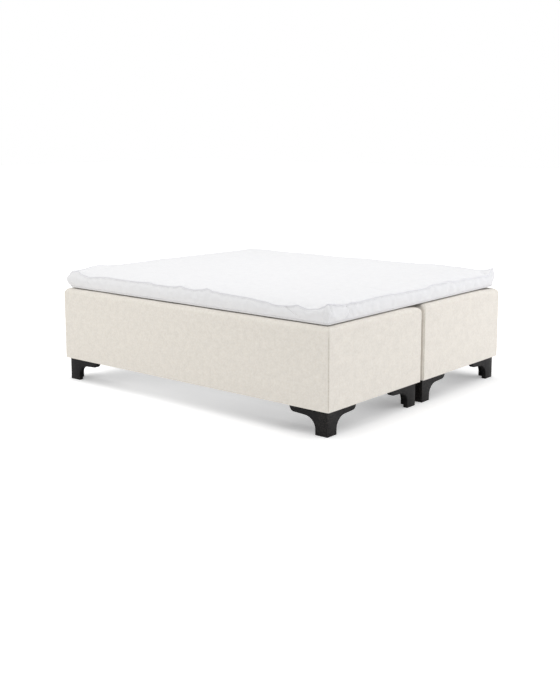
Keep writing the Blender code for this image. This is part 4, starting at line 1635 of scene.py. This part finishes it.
    def bulge_out(self, x: Array, y: Array, rows: Array, share: Array) -> Array:
        """How far the border stands out: more at the left head corner and beside the near corner.

        Args:
            x: Places along X.
            y: Places along Y.
            rows: Which row of the border each point is in.
            share: The height of that row, from 0 at the zip to 1 at the piping.

        Returns:
            Distances in metres.
        """
        on_left = x < 0.002 - self.half_x
        on_foot = y < 0.002 - self.half_y
        near = hill(np.hypot(x + self.half_x, y - self.half_y), 0.0, 0.14)
        hung = hill(y, -0.945, 0.075) * on_left
        slumped = hill(x, -0.805, 0.050) * on_foot
        out = self.bulge * (1 + 0.7 * near) * (rows > 0)
        peak = 1.25 + 2.0 * hung - 0.60 * slumped
        out *= np.clip(np.sin(math.pi * share ** peak), 0, 1) ** (1 - 0.55 * near)
        out *= 1 + 0.3 * hung
        out *= 1 + 0.5 * hill(x, -0.785, 0.05) * on_foot
        return out

    def loosen(self, cover: Object, held: Array) -> None:
        """Lets the cover settle as cloth that is a little too large for its foam.

        Args:
            cover: The cover, before it is refined.
            held: How firmly each vertex is held, from 0 to 1.
        """
        rest = points_of(cover)
        group = cover.vertex_groups.new(name="held")
        for index in np.nonzero(held > 0)[0]:
            group.add([int(index)], float(held[index]), "REPLACE")
        modifier = cover.modifiers.new("cloth", "CLOTH")
        for name, value in self.cloth.items():
            setattr(modifier.settings, name, value)
        modifier.settings.effector_weights.gravity = 0
        modifier.collision_settings.use_collision = False
        scene = bpy.context.scene
        for number in range(1, self.frames + 1):
            scene.frame_set(number)
        apply_all(cover)
        scene.frame_set(1)
        moved = points_of(cover) - rest
        length = np.linalg.norm(moved, axis=1)
        LOG.info("topper cloth moved %.1f mm at most", length.max() / MILLIMETRE)
        limit = self.cap * np.tanh(length / self.cap) / np.maximum(length, 1e-9)
        set_points(cover, rest + moved * limit[:, None])
        cover.vertex_groups.clear()

    def pucker(self, cover: Object) -> None:
        """Small gathers along the piping and the zip, darts near the front corners, and a soft swell.

        Args:
            cover: The cover.
        """
        places = points_of(cover)
        normals = normals_of(cover)
        x, y, z = places.T
        from_x = self.half_x - np.abs(x)
        from_y = self.half_y - np.abs(y)
        inset = np.minimum(from_x, from_y)
        around = np.where(from_x < from_y, y, x)
        below = self.edge + self.wave(x, y) - z
        on_border = (normals[:, 2] < 0.5) & (inset < 0.006)
        on_top = ~on_border
        free = ripple(places, 0.16, 41)
        gather = wavy(around, 0.027, 2.2 * free)
        near_pipe = hill(below, 0.0, 0.026) * on_border
        near_zip = hill(z, self.border_low, 0.016) * on_border
        move = -0.0010 * near_pipe * (0.5 + 0.5 * gather) * (0.6 + 0.4 * ripple(places, 0.30, 42))
        move -= 0.0007 * near_zip * (0.5 + 0.5 * wavy(around, 0.019, 3.0 * free))
        crease = wavy(around, 0.034, 2.6 * free)
        move += 0.0011 * crease * hill(inset, 0.014, 0.018) * on_top * eased(inset, 0.001, 0.008)
        move += ripple(places, 0.30, 31) * 0.0013 * eased(inset, 0.03, 0.12) * on_top
        lively = eased(inset, 0.02, 0.08) * on_top + 1.4 * on_border * (below > 0.01)
        move += ripple(places, 0.085, 32) * 0.0006 * lively
        move += ripple(places, 0.048, 33) * 0.0005 * on_border * (below > 0.008)
        pinned = (np.abs(below) < 0.0015) | (z < self.border_low + 0.001)
        set_points(cover, places + normals * (move * ~pinned)[:, None])
        for lines, width in ((self.seams, self.seam_width), (self.folds, self.fold_width)):
            for edge, depth, points in lines:
                self.groove(cover, edge, points, depth, width)

    def groove(
        self, cover: Object, edge: Edge, points: Sequence[tuple[float, float]], depth: float, width: float
    ) -> None:
        """Draws the border in along a seam or a fold.

        Args:
            cover: The cover.
            edge: Which side the seam is on.
            points: (Along, share of the border's height) points of the seam.
            depth: How far it is drawn in.
            width: How wide the groove is.
        """
        places = points_of(cover)
        x, y, z = places.T
        along = y if edge.lengthwise else x
        facing = -(x * edge.value[0] + y * edge.value[1]) - self.half_to(edge)
        rim = self.edge + self.wave(x, y)
        here = np.stack([along, z], axis=1)
        nearest = np.full(len(places), 1.0)
        knots = []
        for knot, share in points:
            height = self.border_low + (rim - self.border_low) * share
            knots.append(np.stack([np.full(len(x), knot), height], axis=1))
        for first, last in zip(knots, knots[1:]):
            line = last - first
            share = np.clip(((here - first) * line).sum(axis=1) / (line * line).sum(axis=1), 0, 1)
            nearest = np.minimum(nearest, np.linalg.norm(here - first - line * share[:, None], axis=1))
        move = depth * (hill(nearest, 0.0, width) - 0.35 * hill(nearest, 2.3 * width, width))
        shown = (facing > -0.003) & (rim - z > 0.003)
        set_points(cover, places + np.array(edge.value) * (move * shown)[:, None])

    def piped_edge(self, cover: Object) -> Object:
        """The piping, drawn from the cover's own edge.

        Args:
            cover: The finished cover.

        Returns:
            The piping.
        """
        with editing(cover):
            bpy.ops.mesh.select_mode(type="EDGE")
            bpy.ops.mesh.select_all(action="DESELECT")
            mesh = bmesh.from_edit_mesh(cover.data)
            layer = mesh.edges.layers.float["crease_edge"]
            for line in mesh.edges:
                if line[layer] > 0.5:
                    line.select_set(True)
            bmesh.update_edit_mesh(cover.data)
            bpy.ops.mesh.duplicate()
            bpy.ops.mesh.separate(type="SELECTED")
        cord = next(obj for obj in bpy.context.selected_objects if obj != cover)
        cover.data.attributes.remove(cover.data.attributes["crease_edge"])
        cord.parent = None
        activate(cord)
        bpy.ops.object.convert(target="CURVE")
        cord = bpy.context.object
        cord.data.bevel_depth = self.piping
        cord.data.bevel_resolution = 3
        bpy.ops.object.convert(target="MESH")
        cord = settle(bpy.context.object, "topper_piping")
        places = points_of(cord)
        at_wall = np.abs(places[:, :2]) > np.array([self.half_x, self.half_y]) - 0.02
        places[:, :2] += 0.0012 * np.sign(places[:, :2]) * at_wall
        places += normals_of(cord) * (ripple(places, 0.05, 51) * 0.00025)[:, None]
        set_points(cord, places)
        smooth(cord, 80)
        metric_map(cord)
        return dress(cord, Look.PIPING, "topper", "topper_fabric")

    def border_seams(self) -> None:
        """Stitched seams across the border, and the piping's row of stitches under the edge."""
        frames = []
        for edge, _, points in self.seams:
            frames.extend(self.along_line(self.drape(edge, points), 0.0080, 0.0003))
        # The seam stitches are grey: painted shade along the seams.
        self.sewn(thread_stitch(0.0048, 0.0007), frames, "topper_border_seam_stitches", Look.SEAM_THREAD_PAINTED_SHADE)
        frames = []
        for edge in Edge:
            reach = self.half_along(edge) - 0.012
            steps = int(2 * reach / 0.012)
            points = [(-reach + 2 * reach * step / steps, self.edge) for step in range(steps + 1)]
            frames.extend(self.along_line(self.drape(edge, points, below=0.0105), 0.0052, 0.0001))
        self.sewn(thread_stitch(0.0034, 0.00035), frames, "topper_piping_stitches", Look.WHITE_THREAD)

    def sewn(self, stitch: Object, frames: Sequence, name: str, look: Look) -> Object:
        """A row of stitches as one dressed piece.

        Args:
            stitch: The stitch to copy.
            frames: Where the copies go.
            name: The row's name.
            look: The thread's finish.

        Returns:
            The row.
        """
        row = copies(stitch, frames, name)
        smooth(row, 80)
        return dress(row, look, "topper", "topper_fabric")

    def drape(
        self, edge: Edge, points: Sequence[tuple[float, float]], below: float | None = None
    ) -> list[tuple[Vector, Vector]]:
        """Lays a line on the border.

        Args:
            edge: Which side it is on.
            points: (Along, share of the border's height) points.
            below: How far under the piped edge it runs, where the shares don't count.

        Returns:
            Place and normal of each point on the border.
        """
        inward = Vector(edge.value)
        line = []
        for along, share in points:
            x = -edge.value[0] * self.half_x if edge.lengthwise else along
            y = along if edge.lengthwise else -edge.value[1] * self.half_y
            rim = self.edge + float(self.wave(np.array([x]), np.array([y]))[0])
            z = rim - below if below is not None else self.border_low + (rim - self.border_low) * share
            line.append(self.surface.meet(Vector((x, y, z)) - inward * 0.1, inward))
        return line

    def along_line(
        self, line: Sequence[tuple[Vector, Vector]], pitch: float, rise: float
    ) -> list[tuple[Vector, Vector, Vector, Vector]]:
        """Even places along a line on a surface, each with its own directions.

        Args:
            line: Place and normal of each point of the line.
            pitch: How far apart the places are.
            rise: How far out of the surface they stand.

        Returns:
            Place, and the directions along, beside and out.
        """
        frames = []
        carried = pitch / 2
        for (start, normal), (end, _) in zip(line, line[1:]):
            step = end - start
            length = step.length
            while carried < length:
                ahead = step.normalized()
                beside = normal.cross(ahead).normalized()
                frames.append((start + ahead * carried + normal * rise, ahead, beside, ahead.cross(beside)))
                carried += pitch
            carried -= length
        return frames

    def foam(self) -> Object:
        """The foam core, which fills the covers.

        Returns:
            The core.
        """
        gap = self.foam_gap
        half_x, half_y = self.half_x - gap, self.half_y - gap
        core, x, y, rows = sheet_with_walls("topper_foam_core", (half_x, half_y), self.foam_insets, 0.06, 5)
        inset = np.minimum(half_x - np.abs(x), half_y - np.abs(y))
        share = 1 - np.clip(rows, 0, 3) / 3
        low = self.bottom + 0.0070
        wall = low + (self.edge + self.wave(x, y) - gap - low) * share
        z = np.where(rows == 0, self.top_height(x, y) - gap, wall)
        z = np.select([rows == 4, rows == 5], [self.bottom + 0.0040, self.bottom + 0.0014], z)
        drawn = np.select([rows == 4, rows == 5], [0.020, 0.052], 0.0)
        plan_x, plan_y = rounded_corner(x, y, half_x - inset, half_y - inset, self.corner_radius - 0.003)
        plan_x, plan_y = plan_x * (half_x - drawn) / half_x, plan_y * (half_y - drawn) / half_y
        set_points(core, np.stack([plan_x, plan_y, z], axis=1))
        with editing(core):
            select_rim()
            close_rim()
        smooth(core, 50)
        dress(core, Look.CORE_FOAM, "topper", "foam", "topper_core")
        return core

    def lower_cover(self) -> Object:
        """The lower cover: a stretched panel whose rim is drawn up to the zip in a low wedge; grey knit on its
        lowest strip paints the contact shadow.

        Returns:
            The panel.
        """
        wedge_insets, wedge_heights = np.array(self.wedge).T
        flat_inset = self.wedge[0][0]
        half_x, half_y = self.half_x - flat_inset, self.half_y - flat_inset
        panel, x, y, rows = sheet_with_walls(
            "topper_lower_cover", (half_x, half_y), self.panel_insets, 0.05, len(self.wedge) - 1
        )
        out = flat_inset - wedge_insets[rows]
        z = self.bottom + wedge_heights[rows]
        inset = np.minimum(half_x - np.abs(x), half_y - np.abs(y))
        ring_x, ring_y = half_x - inset + out, half_y - inset + out
        x, y = x * (half_x + out) / half_x, y * (half_y + out) / half_y
        x, y = rounded_corner(x, y, ring_x, ring_y, self.corner_radius)
        places = np.stack([x, y, z], axis=1)
        lift = 0.0006 * np.clip(ripple(places, 0.25, 61), 0, 1)
        places[:, 2] += lift * (rows == 0) * eased(inset, 0.0, 0.03)
        set_points(panel, places)
        turn_over(panel)
        subdivide(panel)
        smooth(panel, 60)
        metric_map(panel)
        dress(panel, Look.TOPPER_FABRIC, "topper", "topper_fabric", "topper_cover_base")
        # The rim's lowest strip gets the dark grey knit: painted contact shadow under the topper.
        panel.data.materials.append(Look.CONTACT_SHADOW_KNIT.value.make())
        for face in panel.data.polygons:
            face.material_index = int(face.center.z < self.bottom + self.contact_shadow_height)
        return panel

    def zip(self) -> None:
        """The zip's tape, and its moulded teeth all the way round."""
        tape = copy_of("topper_zip_chain", "topper_zip_tape")
        places = points_of(tape)
        outward = np.abs(places[:, :2]) > np.array([self.half_x, self.half_y]) - 0.0005
        places[:, :2] -= 0.0006 * np.sign(places[:, :2]) * outward
        set_points(tape, places)
        bevel(tape, 0.0005, 2, 40)
        smooth(tape, 40)
        dress(tape, Look.ZIP_TAPE, "topper", "zip", "topper_zip_chain")
        tooth = cube("tooth", (-0.0009, -0.0005, -0.0021), (0.0009, 0.0011, 0.0021))
        places = points_of(tooth)
        places[:, [0, 2]] *= np.where(places[:, 1] > 0, 0.72, 1.0)[:, None]
        set_points(tooth, places)
        teeth = copies(tooth, self.teeth_places(), "topper_zip_teeth")
        dress(teeth, Look.ZIP, "topper", "zip")

    def teeth_places(self) -> list[tuple[Vector, Vector, Vector, Vector]]:
        """Where the teeth are and where they point, round the four straights and corners.

        Returns:
            Place, and the directions along, out and up.
        """
        level = Vector((0, 0, (self.zip_low + self.zip_high) / 2))
        radius, pitch = self.corner_radius, self.tooth_pitch
        frames = []
        for ahead_x, ahead_y in ((0, 1), (-1, 0), (0, -1), (1, 0)):
            ahead, out = Vector((ahead_x, ahead_y, 0)), Vector((ahead_y, -ahead_x, 0))
            distance, half = (self.half_x, self.half_y) if ahead_y else (self.half_y, self.half_x)
            for step in range(int(2 * (half - radius) / pitch)):
                along = -half + radius + (step + 0.5) * pitch
                frames.append((out * distance + ahead * along + level, -ahead, out, UP))
            centre = out * (distance - radius) + ahead * (half - radius)
            for step in range(int(radius * math.pi / 2 / pitch)):
                turn = (step + 0.5) * pitch / radius
                facing = out * math.cos(turn) + ahead * math.sin(turn)
                forward = ahead * math.cos(turn) - out * math.sin(turn)
                frames.append((centre + facing * radius + level, -forward, facing, UP))
        return frames

    def slider(self) -> Object:
        """The zip's slider with its bridge and its pull, on the head end.

        Returns:
            The slider.
        """
        low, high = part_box("topper_zip_slider")
        middle = (low.z + high.z) / 2
        body = cube("slider_body", (low.x, low.y, low.z), (low.x + 0.014, low.y + 0.0018, high.z))
        places = points_of(body)
        nose = places[:, 0] < low.x + MILLIMETRE
        places[:, 2] = np.where(nose, middle + (places[:, 2] - middle) * 0.66, places[:, 2])
        set_points(body, places)
        bevel(body, 0.0006, 3)
        bridge = primitive(
            "torus", "slider_bridge", major_segments=20, minor_segments=8, major_radius=0.0032,
            minor_radius=0.0005, location=(low.x + 0.0095, low.y + 0.0012, middle), rotation=(0, 0, 0),
        )
        places = points_of(bridge)
        places[:, 1] = np.minimum(places[:, 1], high.y)
        set_points(bridge, places)
        start, end = (low.x + 0.0125, low.y + 0.0012), (high.x, low.y + 0.0024)
        pull = cube("slider_pull", (*start, middle - 0.003), (*end, middle + 0.003))
        places = points_of(pull)
        far = places[:, 0] > high.x - MILLIMETRE
        places[:, 2] = np.where(far, middle + (places[:, 2] - middle) * 0.6, places[:, 2])
        set_points(pull, places)
        with editing(pull):
            select_faces(pull, lambda face: abs(face.normal.y) > 0.9)
            bpy.ops.mesh.inset(thickness=0.0011, depth=-0.0003, use_individual=True)
        bevel(pull, 0.0003, 2)
        slider = join([body, bridge, pull], "topper_zip_pull")
        smooth(slider, 40)
        return dress(slider, Look.ZIP, "zip_slider", "zip", "topper_zip_slider")


@dataclass
class Underside(UnitWork):
    """What is under a base unit: the stretched dust cloth, the staples of the hem, screws and washers."""

    staple_pitch: float = 0.042
    staple_inset: float = 0.024
    leg_inset: float = 0.023
    screw_radius: float = 0.0042
    washer_lift: float = 0.0053 - 0.0006
    sag: float = 0.0028

    def build(self) -> None:
        """Builds everything under the unit."""
        self.dust_cloth()
        self.staples()
        self.screws()
        self.washers()

    def dust_cloth(self) -> Object:
        """The black cloth stapled under the frame, sagging a little between its edges.

        Returns:
            The cloth.
        """
        box = Box.of(self.name("dust_cover"))
        half_x, half_y = box.half
        cloth = primitive("grid", self.name("dust_cloth"), x_subdivisions=48, y_subdivisions=116, size=1)
        places = points_of(cloth) * np.array([2 * half_x, 2 * half_y, 1])
        from_x, from_y = half_x - np.abs(places[:, 0]), half_y - np.abs(places[:, 1])
        inset = np.minimum(from_x, from_y)
        around = np.where(from_x < from_y, places[:, 1], places[:, 0])
        sag = self.sag * eased(inset, 0.0, 0.35) + 0.0004 * ripple(places, 0.22, 71) * eased(inset, 0.0, 0.1)
        tuck = 0.0005 * np.cos(around * TURN / self.staple_pitch) * hill(inset, 0.0, 0.03)
        places[:, 2] = -sag - tuck * eased(inset, 0, 0.004)
        set_points(cloth, places + np.array(list(box.centre)))
        turn_over(cloth)
        smooth(cloth, 60)
        self.dress(cloth, Look.DUST_CLOTH, "dust_cloth", "dust_cover")
        rails = ("side_rail_outer", "side_rail_inner", "end_rail_head", "end_rail_foot")
        return (cloth, [self.name(rail) for rail in rails])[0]

    def staples(self) -> Object:
        """The staples along the hem, apart from where the legs cover it.

        Returns:
            The staples.
        """
        low, high = self.box.low, self.box.high
        crown = cube("staple", (-0.005, -0.0006, -0.0005), (0.005, 0.0006, 0.0002))
        bevel(crown, 0.0002, 1)
        leg_low, leg_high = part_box(self.name("leg_foot_outer"))
        clear = self.leg_inset + (leg_high.x - leg_low.x) + 0.012
        inset = self.staple_inset
        frames = []
        for lengthwise, start, end, lines in (
            (True, low.y, high.y, (low.x + inset, high.x - inset)),
            (False, low.x, high.x, (low.y + inset, high.y - inset)),
        ):
            count = int((end - start - 2 * clear) / self.staple_pitch)
            for step in range(count + 1):
                along = (start + end) / 2 + (step - count / 2) * self.staple_pitch
                for line in lines:
                    place = Vector((line, along, low.z) if lengthwise else (along, line, low.z))
                    tilt = math.radians(9 * math.sin(step * 2.4 + line * 7))
                    turn = tilt + (math.pi / 2 if lengthwise else 0)
                    ahead = Vector((math.cos(turn), math.sin(turn), 0))
                    frames.append((place, ahead, UP.cross(ahead), UP))
        return self.row(crown, frames, "hem_staples", Look.STEEL, "steel", 0)

    def screws(self) -> Object:
        """Countersunk cross-head screws in the link plates.

        Returns:
            The screws.
        """
        head = primitive(
            "cylinder", "screw", vertices=16, radius=self.screw_radius, depth=0.0012, end_fill_type="NGON"
        )
        with editing(head):
            select_faces(head, lambda face: face.normal.z < -0.9)
            for thickness, depth in ((0.0008, 0.0003), (0.0016, 0.0), (0.0003, -0.0007)):
                bpy.ops.mesh.inset(thickness=thickness, depth=depth)
        frames = []
        for node, shares, height in self.plates():
            low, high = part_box(node)
            for along, across in shares:
                x = low.x + (high.x - low.x) * along
                y = low.y + (high.y - low.y) * across
                frames.append((Vector((x, y, height)), *UPRIGHT))
        return self.row(head, frames, "plate_screws", Look.STEEL, "steel", 30)

    def plates(self) -> list[tuple[str, tuple, float]]:
        """The unit's link plates with where their screws are.

        Returns:
            Each node with shares along and across the plate, and the height of its screws.
        """
        made = []
        for end in ENDS:
            if self.side is Side.LEFT:
                node = self.name(f"link_tongue_{end}")
                shares = ((0.12, 0.22), (0.12, 0.78), (0.38, 0.22), (0.38, 0.78))
                made.append((node, shares, Box.of(node).low.z))
            else:
                node = self.name(f"link_keeper_{end}")
                shares = ((0.25, 0.09), (0.75, 0.09), (0.25, 0.91), (0.75, 0.91))
                made.append((node, shares, Box.of(node).high.z - 0.0025))
        return made

    def washers(self) -> Object:
        """A washer under the head of each leg bolt.

        Returns:
            The washers.
        """
        ring = primitive(
            "torus", "washer", major_segments=28, minor_segments=8, major_radius=0.0078, minor_radius=0.0022
        )
        set_points(ring, points_of(ring) * np.array([1, 1, 0.30]))
        frames = []
        for corner in CORNERS:
            low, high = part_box(self.name(f"leg_bolt_{corner}"))
            seat = ((low.x + high.x) / 2, (low.y + high.y) / 2, low.z + self.washer_lift)
            frames.append((Vector(seat), *UPRIGHT))
        return self.row(ring, frames, "bolt_washers", Look.STEEL, "steel", 50)


@dataclass
class Inside(UnitWork):
    """What a base unit holds: foam, felt, pocket springs, deck, rails, blocks, bolts and link plates."""

    pocket: float = 0.080
    foam_lines: tuple = (0.04, 0.06, 0.08, 0.10, 0.12, 0.14, 0.20, 0.28)
    pocket_levels: tuple = (0, 0.04, 0.5, 0.96, 1)
    pocket_girths: tuple = (0.80, 0.985, 0.93, 0.985, 0.80)

    def build(self) -> None:
        """Dresses the hard nodes and replaces the soft ones."""
        link = "tongue" if self.side is Side.LEFT else "keeper"
        blocks = [f"corner_block_{corner}" for corner in CORNERS]
        bolts = [f"leg_bolt_{corner}" for corner in CORNERS]
        hard = {
            Look.RAIL_LENGTHWISE: ["side_rail_outer", "side_rail_inner"],
            Look.RAIL_ACROSS: ["end_rail_head", "end_rail_foot", "cross_rail", *blocks],
            Look.BOARD: ["deck"],
            Look.STEEL: [*bolts, f"link_{link}_head", f"link_{link}_foot"],
        }
        for look, nodes in hard.items():
            for node in nodes:
                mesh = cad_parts[self.name(node)].data
                mesh.materials.clear()
                mesh.materials.append(look.value.make())
        self.block("border_foam", "border_foam_wall", Look.FOAM, "foam", 0.003)
        self.block("top_foam", "comfort_foam", Look.FOAM, "foam", 0.004)
        self.block("felt_pad", "felt_layer", Look.FELT, "felt", 0.0012)
        self.springs()

    def block(self, node: str, name: str, look: Look, slot: str, edge: float) -> Object:
        """A soft layer: the CAD's block with its edges softened.

        Args:
            node: The node's name without its side.
            name: The piece's name without its side.
            look: Its finish.
            slot: Its material slot.
            edge: How far its edges are rounded.

        Returns:
            The layer.
        """
        layer = copy_of(self.name(node), self.name(name))
        bevel(layer, edge, 3, 40)
        if node == "top_foam":
            self.sink(layer)
        smooth(layer, 40)
        self.dress(layer, look, slot, node)
        return layer

    def sink(self, layer: Object) -> None:
        """Lets the top foam sink with its cover, and draws its corners in behind the cover's seams.

        Args:
            layer: The top foam.
        """
        low, high = self.box.low, self.box.high
        with editing(layer):
            for inset in self.foam_lines:
                cut((high.x - inset, 0, 0), (1, 0, 0))
                cut((0, low.y + inset, 0), (0, 1, 0))
        places = self.shoulder(points_of(layer))
        middle = np.array([(low.x + high.x) / 2, (low.y + high.y) / 2])
        reach = np.array([high.x - low.x, high.y - low.y]) / 2 - 0.05
        at_corner = (np.abs(places[:, :2] - middle) > reach).all(axis=1)
        places[:, :2] -= 0.0014 * np.sign(places[:, :2] - middle) * at_corner[:, None]
        set_points(layer, places)

    def springs(self) -> Object:
        """The pocket springs: rows of cloth pockets, each drawn in at its ends and its waist.

        Returns:
            The pockets, as one piece.
        """
        low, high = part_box(self.name("spring_core"))
        across = round((high.x - low.x) / self.pocket)
        along = round((high.y - low.y) / self.pocket)
        radius_x = (high.x - low.x) / across / 2
        radius_y = (high.y - low.y) / along / 2
        tall = high.z - low.z
        model = primitive(
            "cylinder", "pocket", vertices=12, radius=1, depth=tall, end_fill_type="NGON",
            location=(0, 0, tall / 2),
        )
        with editing(model):
            for share in self.pocket_levels[1:-1]:
                cut((0, 0, tall * share), (0, 0, 1))
        places = points_of(model)
        girth = np.interp(places[:, 2] / tall, self.pocket_levels, self.pocket_girths)
        places[:, 0] *= girth * radius_x
        places[:, 1] *= girth * radius_y
        set_points(model, places)
        frames = []
        for column in range(across):
            for line in range(along):
                x = low.x + (2 * column + 1) * radius_x
                y = low.y + (2 * line + 1) * radius_y
                frames.append((Vector((x, y, low.z)), *UPRIGHT))
        row = copies(model, frames, self.name("pocket_springs"))
        smooth(row, 40)
        self.dress(row, Look.POCKETS, "spring_pockets", "spring_core")
        return row


@dataclass(frozen=True)
class Lamp:
    """A large soft lamp, with its turn and its spread in degrees."""

    name: str
    place: tuple
    turn: tuple
    size: float
    power: float
    colour: tuple = (1, 1, 1)
    spread: float = 180

    def build(self) -> None:
        """Hangs the lamp in the scene."""
        data = bpy.data.lights.new(self.name, "AREA")
        data.shape = "SQUARE"
        data.size = self.size
        data.energy = self.power
        data.color = self.colour
        data.spread = math.radians(self.spread)
        lamp = shown_as(self.name, data)
        lamp.location = self.place
        lamp.rotation_euler = [math.radians(angle) for angle in self.turn]


@dataclass
class Studio:
    """The camera, the lamps, the white surround and the floor."""

    place: tuple = (-5.1072, -4.2099, 1.6090)
    yaw: float = 0.8793
    pitch: float = 0.1654
    lens: float = 54.2935
    shift: float = -50 / 700
    surround: float = 0.80
    floor_size: float = 60
    floor_colour: tuple = (0.86, 0.86, 0.86, 1)
    # Below: where and how strongly shadow is painted into the floor as the camera sees it.
    lift_foot: float = 0.37
    lift_head: float = 0.61
    half_plan: tuple = (0.90, 1.05)
    leg_insets: tuple = (0.10, 0.84, 0.13)
    painted_leg_shadow_depth: float = 0.095

    lamps = (
        Lamp("overhead", (0.0, 0.0, 3.6), (0, 0, 0), 3.6, 30.0),
        Lamp("foot_fill", (3.2, -5.1, 0.9), (86, 0, 35), 1.8, 52.0, (1.0, 1.0, 1.05)),
        Lamp("side_fill", (-5.4, 2.0, 1.6), (77, 0, -100), 3.0, 5.7, (1.0, 0.97, 0.92), spread=70),
    )

    def build(self) -> None:
        """Builds everything of the studio."""
        self.camera()
        self.world()
        for lamp in self.lamps:
            lamp.build()
        self.floor()
        bpy.context.scene.view_settings.view_transform = "Standard"

    def camera(self) -> None:
        """Sets the camera at the picture's viewpoint."""
        data = bpy.data.cameras.new("camera")
        data.lens = self.lens
        data.shift_y = self.shift
        data.clip_start = 0.1
        data.clip_end = 200
        camera = shown_as("camera", data)
        camera.location = self.place
        camera.rotation_euler = (math.pi / 2 - self.pitch, 0.0, -self.yaw)
        bpy.context.scene.camera = camera

    def world(self) -> None:
        """A soft even surround that the camera, metal and glass see as white."""
        world = bpy.data.worlds.new("surround")
        world.use_nodes = True
        bpy.context.scene.world = world
        w = Wiring(world.node_tree)
        world.node_tree.nodes.clear()
        path = w.add("LightPath").outputs
        mirrored = w.math("MAXIMUM", path["Is Glossy Ray"], path["Is Transmission Ray"])
        seen = w.math("MAXIMUM", path["Is Camera Ray"], mirrored)
        soft = w.add("Background", {"Color": WHITE, "Strength": self.surround}).outputs[0]
        white = w.add("Background", {"Color": WHITE, "Strength": 1.0}).outputs[0]
        mix = w.add("MixShader", {0: seen, 1: soft, 2: white}).outputs[0]
        w.add("OutputWorld", {"Surface": mix})

    def floor(self) -> None:
        """A pale floor that keeps the bed's shadow, with more shadow painted into how the camera sees it, and
        that the camera sees as white beyond it.
        """
        floor = primitive("plane", "floor", size=self.floor_size, location=(0, 0, -0.0003))
        material = bpy.data.materials.new("pale floor")
        material.use_nodes = True
        w = Wiring(material.node_tree)
        lift = w.times(w.add("LightPath").outputs["Is Camera Ray"], self.lift_with_painted_shadow(w))
        w.put(material.node_tree.nodes[SHADER], {
            "Base Color": self.floor_colour, "Roughness": 0.9, "Specular IOR Level": 0.1,
            "Emission Color": WHITE, "Emission Strength": lift,
        })
        floor.data.materials.append(material)

    def lift_with_painted_shadow(self, w: Wiring) -> Socket:
        """How far the camera sees the floor lifted, which paints its shadow: graded from the foot to the head,
        lighter far under the bed, and darker along the bed's rim and beside its legs.

        Args:
            w: The floor material's wiring.

        Returns:
            The lift's socket.
        """
        place = w.add("SeparateXYZ", {0: w.add("TexCoord").outputs["Object"]}).outputs
        # Painted shadow: the lift grows from the foot to the head, so the shadow reads darker at the foot.
        even = w.spread(place["Y"], -1.0, 0.35, self.lift_foot, self.lift_head)
        from_side = w.less(self.half_plan[0], w.math("ABSOLUTE", place["X"]))
        from_end = w.less(self.half_plan[1], w.math("ABSOLUTE", place["Y"]))
        inward = w.math("MINIMUM", from_side, from_end)
        # Painted light far under the bed, and painted shadow in a strip along its left long rim.
        under = w.times(w.spread(inward, 0.10, 0.30, 0.0, 0.12), w.spread(place["Y"], -0.1, 0.6, 1.0, 0.1))
        painted_rim_shadow = w.times(w.spread(inward, 0.16, 0.06), w.spread(inward, -0.06, 0.02))
        depth = w.math("MULTIPLY_ADD", w.times(place["Y"], place["Y"]), 0.20, 0.05)
        rim = w.times(w.times(painted_rim_shadow, depth), w.spread(place["X"], -0.65, -0.78, -0.10, 1.0))
        rim = w.times(rim, w.spread(place["Y"], -1.0, -0.75, -0.1, 1.0))
        # Painted shadow about each leg.
        to_outer, to_inner, to_end = (
            w.math("ABSOLUTE", w.less(distance, inset))
            for distance, inset in zip((from_side, from_side, from_end), self.leg_insets)
        )
        across = w.math("POWER", w.math("MINIMUM", to_outer, to_inner), 2.0)
        from_leg = w.math("SQRT", w.math("ADD", across, w.math("POWER", to_end, 2.0)))
        painted_leg_shadow = w.times(w.spread(from_leg, 0.08, 0.33, self.painted_leg_shadow_depth, 0.0), w.spread(inward, 0.0, 0.10))
        return w.less(w.math("ADD", even, under), w.math("ADD", rim, painted_leg_shadow))


def main() -> None:
    """Builds the bed and its studio, and reports each piece."""
    logging.basicConfig(level=logging.INFO, format="%(name)s: %(message)s")
    for side in Side:
        cover = BaseUnitCover(side)
        cover.build()
        cover.stitches()
        Underside(side).build()
        Inside(side).build()
    Legs(BracketLeg()).build()
    Topper().build()
    Studio().build()
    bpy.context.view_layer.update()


if __name__ == "__main__":
    main()
